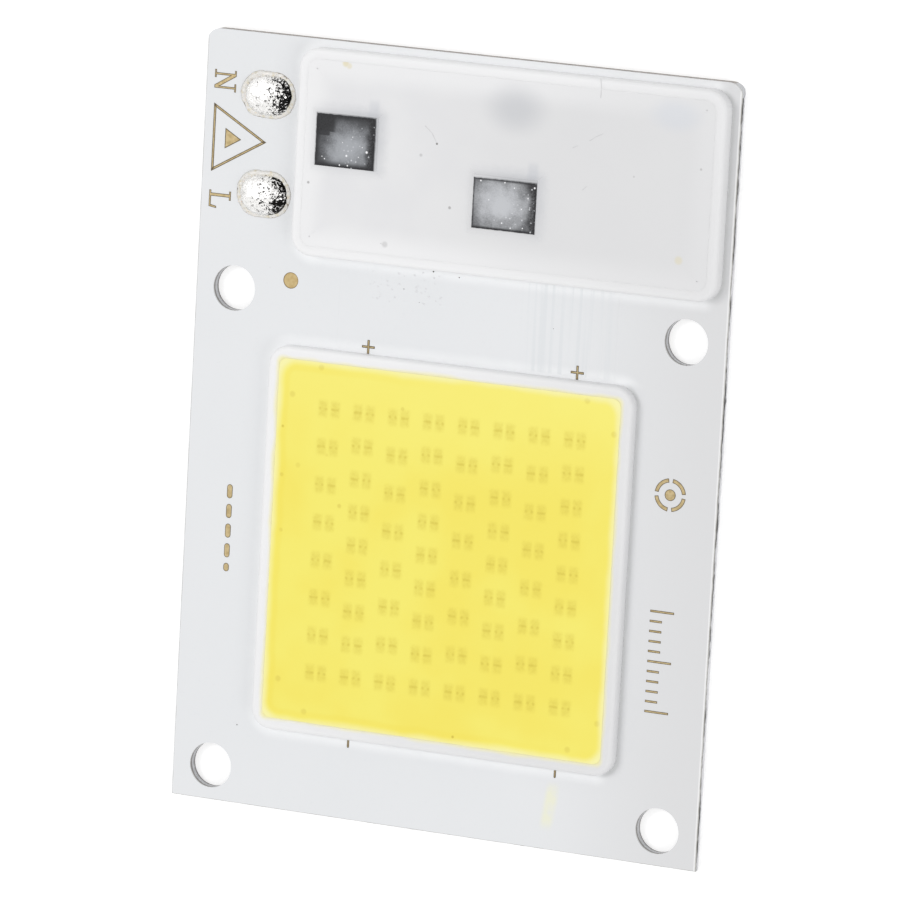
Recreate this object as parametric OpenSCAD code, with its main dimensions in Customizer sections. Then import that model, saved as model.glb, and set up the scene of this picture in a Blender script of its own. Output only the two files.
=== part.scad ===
// Chip-on-board LED module with its driver on the same aluminium board.
// A mains-voltage light engine: a yellow LED field inside a silicone dam, a potted driver
// section at one end and two solder terminals beside it.
// Origin: centre of the board's back face. +Z is the way the light goes, +Y the driver end.
// All sizes are in millimetres.

/* [Board] */
// Width of the board, across its two scored sides
board_w = 40; // [39:0.5:44]
// Thickness of the aluminium base
base_t = 0.7; // [0.6:0.1:1.6]
// Thickness of the insulating layer on the base
dielectric_t = 0.08; // [0.06:0.01:0.15]
// Thickness of the copper foil
copper_t = 0.035; // [0.035:0.035:0.105]
// Thickness of the white solder mask above the copper
mask_t = 0.035; // [0.02:0.005:0.06]
// Radius of the two routed corners
corner_r = 1; // [0.5:0.25:3]
// Depth of the V score cut from the front
score_front_d = 0.2; // [0.16:0.02:0.3]
// Depth of the V score cut from the back
score_back_d = 0.28; // [0.1:0.02:0.4]
// Angle of the V score's cutter
score_angle = 60; // [30:5:90]

/* [Mounting holes] */
// Diameter of a mounting hole
hole_d = 3.2; // [2.7:0.1:3.4]
// Distance of a hole's centre from the side of the board
hole_side_margin = 3; // [2.5:0.1:3.2]
// Distance of the lower holes' centres from the scored end
hole_end_margin = 2.5; // [2.2:0.1:3.2]
// Distance along the board between the two rows of holes
hole_spacing_l = 34; // [32:0.5:36]

/* [LED field] */
// Distance from the outer columns' centres to the middle of the dam's bead
field_side_margin = 3.95; // [3.6:0.05:4.2]
// Distance from the outer cells' centres to the middle of the dam's bead
field_end_margin = 3.76; // [3.7:0.02:4.2]
// Distance from the scored end to the middle of the dam's bead
field_board_margin = 6.35; // [5.8:0.05:6.8]
// Width of the LED dam's bead
dam_w = 1; // [0.7:0.05:1.3]
// Height of the LED dam's bead
dam_h = 0.9; // [0.75:0.05:1.4]
// Radius of the shoulders of both dams' beads
bead_shoulder_r = 0.3; // [0.2:0.05:0.35]
// Radius of the LED dam's corners, at the middle of the bead
dam_corner_r = 0.95; // [0.7:0.05:2]
// How far the phosphor lies below the dam's crown
fill_drop = 0.05; // [0.02:0.01:0.2]

/* [LED dice] */
// Number of columns of cells
columns = 8; // [8:1:8]
// Distance between the columns
column_pitch = 2.643; // [2.5:0.01:2.8]
// Number of cells in the first, third and every other column after them
cells_odd = 8; // [7:1:9]
// Number of cells in the columns between those
cells_even = 9; // [8:1:10]
// Distance from the first to the last cell of a column
column_span = 18.67; // [17.5:0.01:19]
// Width of one die
die_w = 0.72; // [0.5:0.02:0.8]
// Length of one die
die_l = 1.2; // [0.8:0.05:1.3]
// Thickness of one die
die_t = 0.15; // [0.1:0.01:0.2]
// Gap between the two dice of a cell
die_gap = 0.18; // [0.1:0.01:0.3]
// Shift of the cells from the middle of the field, towards the driver
cell_shift = 0.04; // [-0.2:0.02:0.1]

/* [Bond wires] */
// Thickness of a bond wire
wire_t = 0.04; // [0.03:0.005:0.06]
// Rise of a wire's loop above the die
wire_rise = 0.22; // [0.1:0.01:0.35]
// Distance of a wire's foot from the end of its die
wire_inset = 0.25; // [0.15:0.01:0.35]
// Distance from a column's last die to its bond pad's centre
bond_gap = 0.95; // [0.8:0.01:1.1]

/* [Terminals] */
// Width of a terminal's solder
terminal_w = 4; // [3.6:0.1:4.4]
// Length of a terminal's solder
terminal_l = 3.1; // [2.6:0.1:3.4]
// Height of a terminal's solder
terminal_h = 0.9; // [0.4:0.05:1.2]
// Distance of the terminals from the side of the board
terminal_side_margin = 4.9; // [4.6:0.1:5.2]
// Distance of the neutral terminal from the routed end
terminal_end_margin = 4.25; // [3.9:0.05:4.6]
// Distance between the two terminals
terminal_spacing = 6.95; // [6:0.05:7.5]

/* [Driver section] */
// Distance from the upper holes' centres to the driver's dam
driver_hole_gap = 3; // [2.8:0.1:4]
// Distance from the terminals' solder to the driver's dam
driver_terminal_gap = 0.7; // [0.5:0.05:1]
// Distance from the driver's dam to the side of the board
driver_side_margin = 0.65; // [0.5:0.05:1]
// Distance from the driver's dam to the routed end
driver_end_margin = 0.5; // [0.4:0.05:0.8]
// Width of the driver dam's bead
driver_dam_w = 1; // [0.7:0.05:1.2]
// Height of the driver dam's bead
driver_dam_h = 1.15; // [1.1:0.05:1.6]
// Radius of the driver dam's corners, at the middle of the bead
driver_dam_corner_r = 0.95; // [0.7:0.05:2]
// How far the potting lies below the driver dam's crown
potting_drop = 0.07; // [0.02:0.01:0.1]
// Width of the potting's climb up a chip's sides, out from the chip's top edge
climb_w = 0.6; // [0.4:0.05:0.7]
// How far below the chip's top edge the climb ends
climb_drop = 0.03; // [0.02:0.01:0.06]

/* [Driver chips] */
// First driver chip's centre, from the left side of the driver section
ic_1_x = 3.95; // [3.9:0.05:4.3]
// First driver chip's centre, from the lower side of the driver section
ic_1_y = 8.3; // [8:0.05:8.5]
// Second driver chip's centre, from the left side of the driver section
ic_2_x = 16; // [15.6:0.05:16.3]
// Second driver chip's centre, from the lower side of the driver section
ic_2_y = 5.2; // [5:0.05:5.3]
// Length of a driver chip's body, along its rows of leads
ic_l = 4.9; // [4.7:0.05:5]
// Width of a driver chip's body, between its rows of leads
ic_w = 3.9; // [3.7:0.05:4]
// Height of a driver chip's body
ic_h = 1.3; // [1.2:0.05:1.5]
// Height of a driver chip's body above its lands
ic_standoff = 0.1; // [0.08:0.01:0.15]
// Inward lean of a chip's sides, from the parting line to the top or the bottom
ic_draft = 0.1; // [0.05:0.01:0.15]
// Distance between a chip's leads
ic_pitch = 1.27; // [1.27:0.01:1.3]
// Width of a chip's lead
lead_w = 0.42; // [0.3:0.01:0.5]
// Thickness of a chip's lead
lead_t = 0.2; // [0.15:0.01:0.25]
// How far a lead reaches out from the body
lead_reach = 1.05; // [0.9:0.05:1.2]
// Length of a chip's heat slug
slug_l = 3.3; // [2.8:0.1:3.6]
// Width of a chip's heat slug
slug_w = 2.4; // [1.8:0.1:2.6]

/* [Bridge rectifier] */
// Rectifier's centre, from the left side of the driver section
bridge_x = 16.2; // [15.8:0.05:16.6]
// Rectifier's centre, from the first driver chip's centre along the board
bridge_rise = 3.25; // [3.1:0.05:3.5]
// Rectifier's centre, from the upper side of the driver section
bridge_upper_margin = 2.95; // [2.8:0.05:3.2]
// Length of the rectifier's body
bridge_l = 3.6; // [3.4:0.1:3.8]
// Width of the rectifier's body
bridge_w = 2.8; // [2.6:0.1:3]
// Height of the rectifier's body
bridge_h = 0.9; // [0.8:0.05:0.95]
// Distance between the two leads on one side of the rectifier
bridge_pitch = 1.5; // [1.4:0.05:1.6]
// Width of a rectifier's lead
bridge_lead_w = 0.6; // [0.5:0.05:0.7]

/* [Chip resistors] */
// Fusible resistor's centre, from the right side of the driver section
fuse_x = 3.85; // [3.6:0.05:4.5]
// Length of the fusible resistor
fuse_l = 3.2; // [3:0.1:3.3]
// Width of the fusible resistor
fuse_w = 1.6; // [1.4:0.1:1.7]
// Length of a sense resistor
sense_l = 2; // [1.8:0.1:2.1]
// Width of a sense resistor
sense_w = 1.25; // [1:0.05:1.3]
// Thickness of a resistor's ceramic
ceramic_t = 0.45; // [0.35:0.05:0.6]
// Length of a resistor's metal ends
cap_l = 0.45; // [0.3:0.05:0.5]
// Thickness of the metal on a resistor's ends
cap_t = 0.05; // [0.03:0.01:0.08]

/* [Copper] */
// Width of the tracks that carry the supply
track_w = 1; // [0.8:0.05:1.1]
// Width of the tracks from the live terminal and to the sense resistors
line_track_w = 0.6; // [0.5:0.05:0.7]
// Width of the track from the last column to the first driver chip
end_track_w = 0.75; // [0.6:0.05:0.8]
// How far a land reaches under the mask around its opening
land_margin = 0.15; // [0.1:0.01:0.2]
// Clearance between a solder joint's foot and the edge of its opening
opening_clear = 0.06; // [0.03:0.01:0.1]
// Diameter of the fiducial's opening
fiducial_d = 1.15; // [0.8:0.05:1.5]
// Fiducial's centre, from the side of the board
fiducial_x = 7.3; // [6.5:0.1:8]
// Fiducial's centre, from the upper holes towards the driver
fiducial_y = 1; // [0.6:0.1:1.3]
// Diameter of an alignment dot
dot_d = 0.3; // [0.2:0.05:0.4]
// Shorter distance of an alignment dot from the outermost cell
dot_near = 0.75; // [0.7:0.05:1]
// Longer distance of an alignment dot from the outermost cell
dot_far = 2.85; // [2.6:0.05:2.9]

/* [Hidden] */
$fn = 48;
EPS = 0.01;
CUT = 1;

// Levels of the layers, from the back face up
z_base = base_t;
z_foil = z_base + dielectric_t;
z_land = z_foil + copper_t;
z_front = z_land + mask_t;

// Edges of the board; its length follows from the holes and the driver section,
// whose length follows from the rows of its parts
driver_l = ic_1_y + bridge_rise + bridge_upper_margin;
board_l = hole_end_margin + hole_spacing_l + driver_hole_gap + driver_l + driver_end_margin;
right = board_w / 2;
top = board_l / 2;

// Mounting holes
hole_x = right - hole_side_margin;
hole_low_y = -top + hole_end_margin;
hole_high_y = hole_low_y + hole_spacing_l;

// LED field: the rectangle that the middle of the dam's bead follows
field_path = [
    (columns - 1) * column_pitch + 2 * field_side_margin,
    column_span + 2 * field_end_margin
];
field_y = -top + field_board_margin + field_path.y / 2;
fill_h = dam_h - fill_drop;

// Column and cell places; the first cell of a column is the one nearest the driver
first_cell_y = field_y + cell_shift + column_span / 2;
cell_pitch_x = die_w + die_gap;
die_end = die_l / 2;
z_die = z_front + die_t;
bond_pad_offset = die_end + bond_gap;
bond_high_y = first_cell_y + bond_pad_offset;
bond_low_y = first_cell_y - column_span - bond_pad_offset;
bond_opening = [0.4, 0.5];
dot_offset = [dot_near, dot_far];
link_w = 0.8;

// Terminals
terminal_x = -right + terminal_side_margin;
neutral_y = top - terminal_end_margin;
line_y = neutral_y - terminal_spacing;
terminal_opening = [terminal_w + 2 * opening_clear, terminal_l + 2 * opening_clear];

// Driver section: its outer corners and the rectangle that its bead follows
driver_left = terminal_x + terminal_w / 2 + driver_terminal_gap;
driver_right = right - driver_side_margin;
driver_high = top - driver_end_margin;
driver_low = driver_high - driver_l;
driver_mid = [(driver_left + driver_right) / 2, (driver_low + driver_high) / 2];
driver_path = [driver_right - driver_left - driver_dam_w, driver_l - driver_dam_w];
potting_h = driver_dam_h - potting_drop;
z_potting = z_front + potting_h;
// How deep the climbs reach into the potting, and how far their rollers dip below its surface
climb_sink = 0.2;
climb_dip = 0.01;

// Places of the driver's parts
ic_1 = [driver_left + ic_1_x, driver_low + ic_1_y];
ic_2 = [driver_left + ic_2_x, driver_low + ic_2_y];
bridge = [driver_left + bridge_x, ic_1.y + bridge_rise];
fuse = [driver_right - fuse_x, bridge.y + bridge_pitch / 2];
ic_crown = [ic_l - 2 * ic_draft, ic_w - 2 * ic_draft];
z_ic = z_land + ic_standoff + ic_h;
foot_l = 0.5;
foot_mid = lead_reach - foot_l / 2;
ic_foot_y = ic_w / 2 + foot_mid;
bridge_foot_x = bridge_l / 2 + foot_mid;
ic_opening = [lead_w, foot_l] + [2, 2] * opening_clear;
bridge_opening = [foot_l, bridge_lead_w] + [2, 2] * opening_clear;
slug_opening = [slug_l, slug_w] + [2, 2] * opening_clear;
sense_gap = 0.9;
sense_land_x = sense_l / 2 - cap_l / 2;
sense_1 = [ic_1.x + 1.5 * ic_pitch + sense_gap + sense_l / 2, ic_1.y - ic_foot_y];
sense_2 = [ic_2.x + 1.5 * ic_pitch + sense_gap + sense_l / 2, ic_2.y + ic_foot_y];
fuse_land_x = fuse_l / 2 - cap_l / 2;

// Copper runs: how far each stands off the pieces that it goes round, and how high above
// the driver section's lower side the runs from the LED field turn
neutral_run_rise = 0.9;
line_run_rise = 0.95;
line_run_gap = 1.6;
fused_run_gap = 1.7;
fused_turn_h = 2.75;
string_turn_h = 2.2;
tap_turn_h = 1.5;
spreader_gap = 0.6;
land_gap = 0.3;
ground_arm_w = 0.8 * track_w;

function column_x(i) = (i - (columns + 1) / 2) * column_pitch;
function cells_in(i) = i % 2 == 1 ? cells_odd : cells_even;
function cell_pitch_y(i) = column_span / (cells_in(i) - 1);
function cell_y(i, k) = first_cell_y - k * cell_pitch_y(i);
function lead_x(ic, k) = ic.x + (k - 1.5) * ic_pitch;
function grown(size, margin) = [size.x + 2 * margin, size.y + 2 * margin];

// ---- Shapes shared by several pieces ----

module centred(size) {
    square(size, center = true);
}

// Rectangle with round corners, made from true arcs
module rounded_rect(size, r) {
    centred([size.x - 2 * r, size.y]);
    centred([size.x, size.y - 2 * r]);
    for (sx = [-1, 1], sy = [-1, 1])
        translate([sx * (size.x / 2 - r), sy * (size.y / 2 - r)])
            circle(r);
}

// Rectangle with half-round ends
module stadium(size) {
    flat = size.x - size.y;
    centred([flat, size.y]);
    for (s = [-1, 1])
        translate([s * flat / 2, 0])
            circle(d = size.y);
}

// Copper run through a list of points, along X or Y only
module track(points, w) {
    for (i = [1 : len(points) - 1]) {
        a = points[i - 1];
        b = points[i];
        translate([min(a.x, b.x) - w / 2, min(a.y, b.y) - w / 2])
            square([abs(a.x - b.x) + w, abs(a.y - b.y) + w]);
    }
}

module box_between(a, b) {
    translate([min(a.x, b.x), min(a.y, b.y)])
        square([abs(a.x - b.x), abs(a.y - b.y)]);
}

module at_holes() {
    for (sx = [-1, 1], y = [hole_low_y, hole_high_y])
        translate([sx * hole_x, y])
            children();
}

// Dispensed bead: upright sides, round shoulders and a crown that has settled flat
module bead_profile(w, h) {
    crown_w = w - 2 * bead_shoulder_r;
    translate([-w / 2, 0])
        square([w, h - bead_shoulder_r]);
    translate([-crown_w / 2, 0])
        square([crown_w, h]);
    for (s = [-1, 1])
        translate([s * crown_w / 2, h - bead_shoulder_r])
            circle(bead_shoulder_r);
}

// Bead laid along a rectangle with round corners
module bead_loop(path, r, w, h) {
    straight = [path.x - 2 * r, path.y - 2 * r];
    for (s = [-1, 1]) {
        translate([-straight.x / 2, s * path.y / 2, 0])
            rotate([90, 0, 90])
                linear_extrude(straight.x)
                    bead_profile(w, h);
        translate([s * path.x / 2, straight.y / 2, 0])
            rotate([90, 0, 0])
                linear_extrude(straight.y)
                    bead_profile(w, h);
    }
    for (quarter = [0 : 3]) {
        sx = quarter == 0 || quarter == 3 ? 1 : -1;
        sy = quarter < 2 ? 1 : -1;
        translate([sx * straight.x / 2, sy * straight.y / 2, 0])
            rotate(90 * quarter)
                rotate_extrude(angle = 90)
                    translate([r, 0])
                        bead_profile(w, h);
    }
}

// ---- Board ----

// Outline of the board: square at the scored end, round corners at the routed end
module board_outline() {
    translate([-right, -top])
        square([board_w, board_l - corner_r]);
    translate([-right + corner_r, -top])
        square([board_w - 2 * corner_r, board_l]);
    for (s = [-1, 1])
        translate([s * (right - corner_r), top - corner_r])
            circle(corner_r);
}

// The V grooves that the board was snapped along, on both sides and at the lower end.
// They run through every layer, because a panel is scored after it is laminated.
module score_cuts() {
    slope = tan(score_angle / 2);
    reach_front = (score_front_d + CUT) * slope;
    reach_back = (score_back_d + CUT) * slope;
    for (a = [90, 180, 270]) {
        edge = a == 180 ? top : right;
        rotate(a)
            translate([0, edge, 0])
                rotate([90, 0, 90])
                    linear_extrude(2 * board_l, center = true) {
                        polygon([
                            [0, z_front - score_front_d],
                            [reach_front, z_front + CUT],
                            [-reach_front, z_front + CUT]
                        ]);
                        polygon([
                            [0, score_back_d],
                            [-reach_back, -CUT],
                            [reach_back, -CUT]
                        ]);
                    }
    }
}

// One layer of the board, from z up, with the holes and the scores cut
module layer(z, t) {
    difference() {
        translate([0, 0, z])
            linear_extrude(t)
                board_outline();
        at_holes()
            translate([0, 0, -CUT])
                cylinder(d = hole_d, h = z_front + 2 * CUT);
        score_cuts();
    }
}

module base_plate() {
    color("silver")
        layer(0, base_t);
}

module dielectric_layer() {
    color("darkkhaki")
        layer(z_base, dielectric_t);
}

// ---- Copper islands, as flat shapes ----

module terminal_pad(y) {
    translate([terminal_x, y])
        stadium(grown(terminal_opening, land_margin));
}

module ic_land(ic, k, side) {
    translate([lead_x(ic, k), ic.y + side * ic_foot_y])
        centred(grown(ic_opening, land_margin));
}

module bridge_land(sx, sy) {
    translate([bridge.x + sx * bridge_foot_x, bridge.y + sy * bridge_pitch / 2])
        centred(grown(bridge_opening, land_margin));
}

module cap_opening(w) {
    centred(grown([cap_l, w], opening_clear));
}

module cap_land(w) {
    centred(grown([cap_l, w], opening_clear + land_margin));
}

// Copper under the wire bonds of the columns from i to j, at height y
module bond_bar(i, j, y) {
    box_between(
        [column_x(i) - cell_pitch_x / 2 - link_w / 2, y - link_w / 2],
        [column_x(j) + cell_pitch_x / 2 + link_w / 2, y + link_w / 2]
    );
}

module island_neutral() {
    band_y = bridge.y + bridge_pitch / 2 + neutral_run_rise;
    terminal_pad(neutral_y);
    track([
        [terminal_x, neutral_y],
        [terminal_x, band_y],
        [bridge.x - bridge_foot_x, band_y]
    ], track_w);
    bridge_land(-1, 1);
}

// The live run goes up beside the first chip, over its leads and down to the rectifier
module island_line() {
    up_x = driver_left + driver_dam_w / 2;
    over_y = ic_1.y + ic_foot_y + line_run_rise;
    down_x = lead_x(ic_1, 3) + line_run_gap;
    land_y = bridge.y - bridge_pitch / 2;
    terminal_pad(line_y);
    track([
        [terminal_x, line_y],
        [up_x, line_y],
        [up_x, over_y],
        [down_x, over_y],
        [down_x, land_y],
        [bridge.x - bridge_foot_x, land_y]
    ], line_track_w);
    bridge_land(-1, -1);
}

module island_supply() {
    track([
        [bridge.x + bridge_foot_x, fuse.y],
        [fuse.x - fuse_land_x, fuse.y]
    ], track_w);
    bridge_land(1, 1);
    translate([fuse.x - fuse_land_x, fuse.y])
        cap_land(fuse_w);
}

module island_fused_supply() {
    down_x = column_x(columns) + cell_pitch_x / 2 + fused_run_gap;
    jog_y = driver_low + fused_turn_h;
    translate([fuse.x + fuse_land_x, fuse.y])
        cap_land(fuse_w);
    track([
        [fuse.x + fuse_land_x, fuse.y],
        [fuse.x + fuse_land_x, jog_y],
        [down_x, jog_y],
        [down_x, bond_high_y],
        [column_x(columns), bond_high_y]
    ], track_w);
    bond_bar(columns, columns, bond_high_y);
}

module island_string_end() {
    jog_y = driver_low + string_turn_h;
    foot_y = ic_1.y - ic_foot_y;
    track([
        [column_x(1), bond_high_y],
        [column_x(1), jog_y],
        [lead_x(ic_1, 0.5), jog_y],
        [lead_x(ic_1, 0.5), foot_y]
    ], end_track_w);
    track([
        [lead_x(ic_1, 0), foot_y],
        [lead_x(ic_1, 1), foot_y]
    ], grown(ic_opening, land_margin).x);
    for (k = [0, 1])
        ic_land(ic_1, k, -1);
    bond_bar(1, 1, bond_high_y);
}

module island_tap() {
    middle = columns / 2;
    jog_y = driver_low + tap_turn_h;
    foot_y = ic_2.y - ic_foot_y;
    track([
        [0, bond_high_y],
        [0, jog_y],
        [lead_x(ic_2, 0.5), jog_y],
        [lead_x(ic_2, 0.5), foot_y]
    ], track_w);
    for (k = [0, 1])
        ic_land(ic_2, k, -1);
    bond_bar(middle, middle + 1, bond_high_y);
}

// Ground: a heat spreader between the chips, with arms under both slugs
module island_ground() {
    slug = grown(slug_opening, land_margin);
    spreader_left = sense_1.x + sense_land_x;
    spreader_right = lead_x(ic_2, 0) - lead_w / 2 - spreader_gap;
    bridge_land_low = bridge.y - bridge_pitch / 2 - bridge_lead_w / 2 - opening_clear - land_margin;
    arm_top = bridge_land_low - land_gap;
    arm_y = arm_top - ground_arm_w / 2;
    box_between([spreader_left, ic_2.y - ic_foot_y], [spreader_right, arm_top]);
    box_between([ic_1.x - slug.x / 2, ic_1.y - slug.y / 2], [spreader_right, ic_1.y + slug.y / 2]);
    box_between([spreader_left, ic_2.y - slug.y / 2], [ic_2.x + slug.x / 2, ic_2.y + slug.y / 2]);
    track([
        [spreader_right, arm_y],
        [bridge.x + bridge_foot_x, arm_y],
        [bridge.x + bridge_foot_x, bridge.y - bridge_pitch / 2]
    ], ground_arm_w);
    track([
        [spreader_right, arm_y],
        [sense_2.x + sense_land_x, arm_y],
        [sense_2.x + sense_land_x, sense_2.y]
    ], ground_arm_w);
    bridge_land(1, -1);
    translate([sense_1.x + sense_land_x, sense_1.y])
        cap_land(sense_w);
    translate([sense_2.x + sense_land_x, sense_2.y])
        cap_land(sense_w);
}

// Run from a chip's last lead to its sense resistor
module island_sense(ic, side, sense) {
    ic_land(ic, 3, side);
    translate([sense.x - sense_land_x, sense.y])
        cap_land(sense_w);
    track([[lead_x(ic, 3), sense.y], [sense.x - sense_land_x, sense.y]], line_track_w);
}

// Bars that join neighbouring columns: above the even gaps and below the odd ones
module islands_links() {
    for (i = [1 : columns - 1]) {
        if (i % 2 == 1)
            bond_bar(i, i + 1, bond_low_y);
        else if (i != columns / 2)
            bond_bar(i, i + 1, bond_high_y);
    }
}

// Lands of the leads that carry no track
module islands_spare_lands() {
    ic_land(ic_1, 2, -1);
    for (k = [0 : 3])
        ic_land(ic_1, k, 1);
    for (k = [2, 3])
        ic_land(ic_2, k, -1);
    for (k = [0 : 2])
        ic_land(ic_2, k, 1);
}

module at_fiducial() {
    translate([-right + fiducial_x, hole_high_y + fiducial_y])
        children();
}

// Two dots near each corner of the LED field, set off from the outermost cells
module at_alignment_dots() {
    corner = [column_x(columns), column_span / 2];
    for (sx = [-1, 1], sy = [-1, 1], far = [dot_offset, [dot_offset.y, dot_offset.x]])
        translate([sx * (corner.x + far.x), first_cell_y - corner.y + sy * (corner.y + far.y)])
            children();
}

module foil(z = z_foil, t = copper_t) {
    translate([0, 0, z])
        linear_extrude(t)
            children();
}

module copper_neutral() {
    color("peru")
        foil() island_neutral();
}

module copper_line() {
    color("peru")
        foil() island_line();
}

module copper_supply() {
    color("peru")
        foil() island_supply();
}

module copper_fused_supply() {
    color("peru")
        foil() island_fused_supply();
}

module copper_string_end() {
    color("peru")
        foil() island_string_end();
}

module copper_tap() {
    color("peru")
        foil() island_tap();
}

module copper_ground() {
    color("peru")
        foil() island_ground();
}

module copper_sense_1() {
    color("peru")
        foil() island_sense(ic_1, -1, sense_1);
}

module copper_sense_2() {
    color("peru")
        foil() island_sense(ic_2, 1, sense_2);
}

module copper_links() {
    color("peru")
        foil() islands_links();
}

module copper_spare_lands() {
    color("peru")
        foil() islands_spare_lands();
}

module copper_fiducial() {
    color("goldenrod")
        foil() at_fiducial() circle(d = fiducial_d + 2 * land_margin);
}

module copper_alignment_dots() {
    color("goldenrod")
        foil() at_alignment_dots() circle(d = dot_d + 2 * land_margin);
}

// ---- Solder mask ----

// Openings in the mask at the driver's parts
module driver_openings() {
    for (ic = [ic_1, ic_2]) {
        for (k = [0 : 3], side = [-1, 1])
            translate([lead_x(ic, k), ic.y + side * ic_foot_y])
                centred(ic_opening);
        translate(ic)
            centred(slug_opening);
    }
    for (sx = [-1, 1], sy = [-1, 1])
        translate([bridge.x + sx * bridge_foot_x, bridge.y + sy * bridge_pitch / 2])
            centred(bridge_opening);
    for (s = [-1, 1]) {
        translate([fuse.x + s * fuse_land_x, fuse.y])
            cap_opening(fuse_w);
        translate([sense_1.x + s * sense_land_x, sense_1.y])
            cap_opening(sense_w);
        translate([sense_2.x + s * sense_land_x, sense_2.y])
            cap_opening(sense_w);
    }
}

// Openings in the mask under the phosphor: one to each end wire, and the alignment dots
module field_openings() {
    for (i = [1 : columns], s = [-1, 1], y = [bond_low_y, bond_high_y])
        translate([column_x(i) + s * cell_pitch_x / 2, y])
            centred(bond_opening);
    at_alignment_dots()
        circle(d = dot_d);
}

module terminal_openings() {
    for (y = [neutral_y, line_y])
        translate([terminal_x, y])
            stadium(terminal_opening);
    at_fiducial()
        circle(d = fiducial_d);
}

module solder_mask() {
    color("whitesmoke")
        difference() {
            layer(z_foil, copper_t + mask_t);
            copper_neutral();
            copper_line();
            copper_supply();
            copper_fused_supply();
            copper_string_end();
            copper_tap();
            copper_ground();
            copper_sense_1();
            copper_sense_2();
            copper_links();
            copper_spare_lands();
            copper_fiducial();
            copper_alignment_dots();
            foil(z_land, mask_t + CUT) {
                driver_openings();
                field_openings();
                terminal_openings();
            }
        }
}

// ---- Terminals ----

// Oval dome of solder: a round crown along the middle and a ball's cap at each end
module solder_dome(size, h) {
    flat = size.x - size.y;
    base_r = size.y / 2;
    ball_r = (base_r * base_r + h * h) / (2 * h);
    intersection() {
        translate([0, 0, h - ball_r]) {
            for (s = [-1, 1])
                translate([s * flat / 2, 0, 0])
                    intersection() {
                        sphere(ball_r);
                        translate([s * ball_r, 0, 0])
                            cube(2 * ball_r, center = true);
                    }
            rotate([0, 90, 0])
                cylinder(r = ball_r, h = flat, center = true);
        }
        translate([-size.x, -size.y, 0])
            cube([2 * size.x, 2 * size.y, h + CUT]);
    }
}

module solder_joint_neutral() {
    color("lightgray")
        translate([terminal_x, neutral_y, z_land])
            solder_dome([terminal_w, terminal_l], terminal_h);
}

module solder_joint_line() {
    color("lightgray")
        translate([terminal_x, line_y, z_land])
            solder_dome([terminal_w, terminal_l], terminal_h);
}

// ---- LED field ----

module led_dam() {
    color("white")
        translate([0, field_y, z_front])
            bead_loop(field_path, dam_corner_r, dam_w, dam_h);
}

module led_column(i) {
    color("lightblue")
        for (k = [0 : cells_in(i) - 1], s = [-1, 1])
            translate([column_x(i) + s * cell_pitch_x / 2, cell_y(i, k), z_front + die_t / 2])
                cube([die_w, die_l, die_t], center = true);
}

// Flat side view of a wire loop from one foot to the other, with its feet at heights z0 and z1
module wire_profile(y0, z0, y1, z1) {
    crown = z_die + wire_rise;
    lean = (y1 - y0) * 0.18;
    polygon([
        [y0, z0],
        [y0 + lean, crown],
        [y1 - lean, crown],
        [y1, z1],
        [y1 - wire_t, z1],
        [y1 - lean - wire_t, crown - wire_t],
        [y0 + lean + wire_t, crown - wire_t],
        [y0 + wire_t, z0]
    ]);
}

// The wires of one column: pad to die at both ends, and die to die between them
module bond_wires(i) {
    last = cells_in(i) - 1;
    foot = die_end - wire_inset;
    color("gold")
        for (s = [-1, 1])
            translate([column_x(i) + s * cell_pitch_x / 2 - wire_t / 2, 0, 0])
                rotate([90, 0, 90])
                    linear_extrude(wire_t) {
                        wire_profile(cell_y(i, 0) + foot, z_die, bond_high_y, z_land);
                        wire_profile(bond_low_y, z_land, cell_y(i, last) - foot, z_die);
                        for (k = [1 : last])
                            wire_profile(cell_y(i, k) + foot, z_die, cell_y(i, k - 1) - foot, z_die);
                    }
}

module phosphor_fill() {
    color("khaki")
        difference() {
            union() {
                foil(z_front, fill_h)
                    translate([0, field_y])
                        rounded_rect(field_path, dam_corner_r);
                foil(z_land, mask_t)
                    field_openings();
            }
            led_dam();
            for (i = [1 : columns]) {
                led_column(i);
                bond_wires(i);
            }
        }
}

// ---- Driver section ----

module driver_dam() {
    color("white")
        translate([driver_mid.x, driver_mid.y, z_front])
            bead_loop(driver_path, driver_dam_corner_r, driver_dam_w, driver_dam_h);
}

// Moulded body with sides that lean in above and below the parting line, lying along X
module moulded_body(l, w, h, draft) {
    intersection() {
        rotate([90, 0, 0])
            linear_extrude(w, center = true)
                drafted_side(l, h, draft);
        rotate([90, 0, 90])
            linear_extrude(l, center = true)
                drafted_side(w, h, draft);
    }
}

module drafted_side(l, h, draft) {
    polygon([
        [-l / 2 + draft, 0],
        [l / 2 - draft, 0],
        [l / 2, h / 2],
        [l / 2 - draft, h],
        [-l / 2 + draft, h],
        [-l / 2, h / 2]
    ]);
}

// Gull-wing lead that leaves the body at height mid and stands on its foot; it reaches along +X
module gull_lead(mid, w) {
    shoulder = 0.2;
    bend = lead_reach - foot_l;
    rotate([90, 0, 0])
        linear_extrude(w, center = true)
            polygon([
                [0, mid - lead_t / 2],
                [shoulder, mid - lead_t / 2],
                [bend, 0],
                [lead_reach, 0],
                [lead_reach, lead_t],
                [bend + lead_t / 2, lead_t],
                [shoulder + lead_t, mid + lead_t / 2],
                [0, mid + lead_t / 2]
            ]);
}

module ic_body(ic) {
    color("dimgray")
        translate([ic.x, ic.y, z_land + ic_standoff])
            moulded_body(ic_l, ic_w, ic_h, ic_draft);
}

// Leads start at the parting line, where the body is widest
module ic_leads(ic) {
    color("lightgray")
        difference() {
            for (k = [0 : 3], side = [-1, 1])
                translate([lead_x(ic, k), ic.y + side * (ic_w / 2 - ic_draft), z_land])
                    rotate(90 * side)
                        gull_lead_from_body(ic_standoff + ic_h / 2, lead_w);
            ic_body(ic);
        }
}

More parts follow.
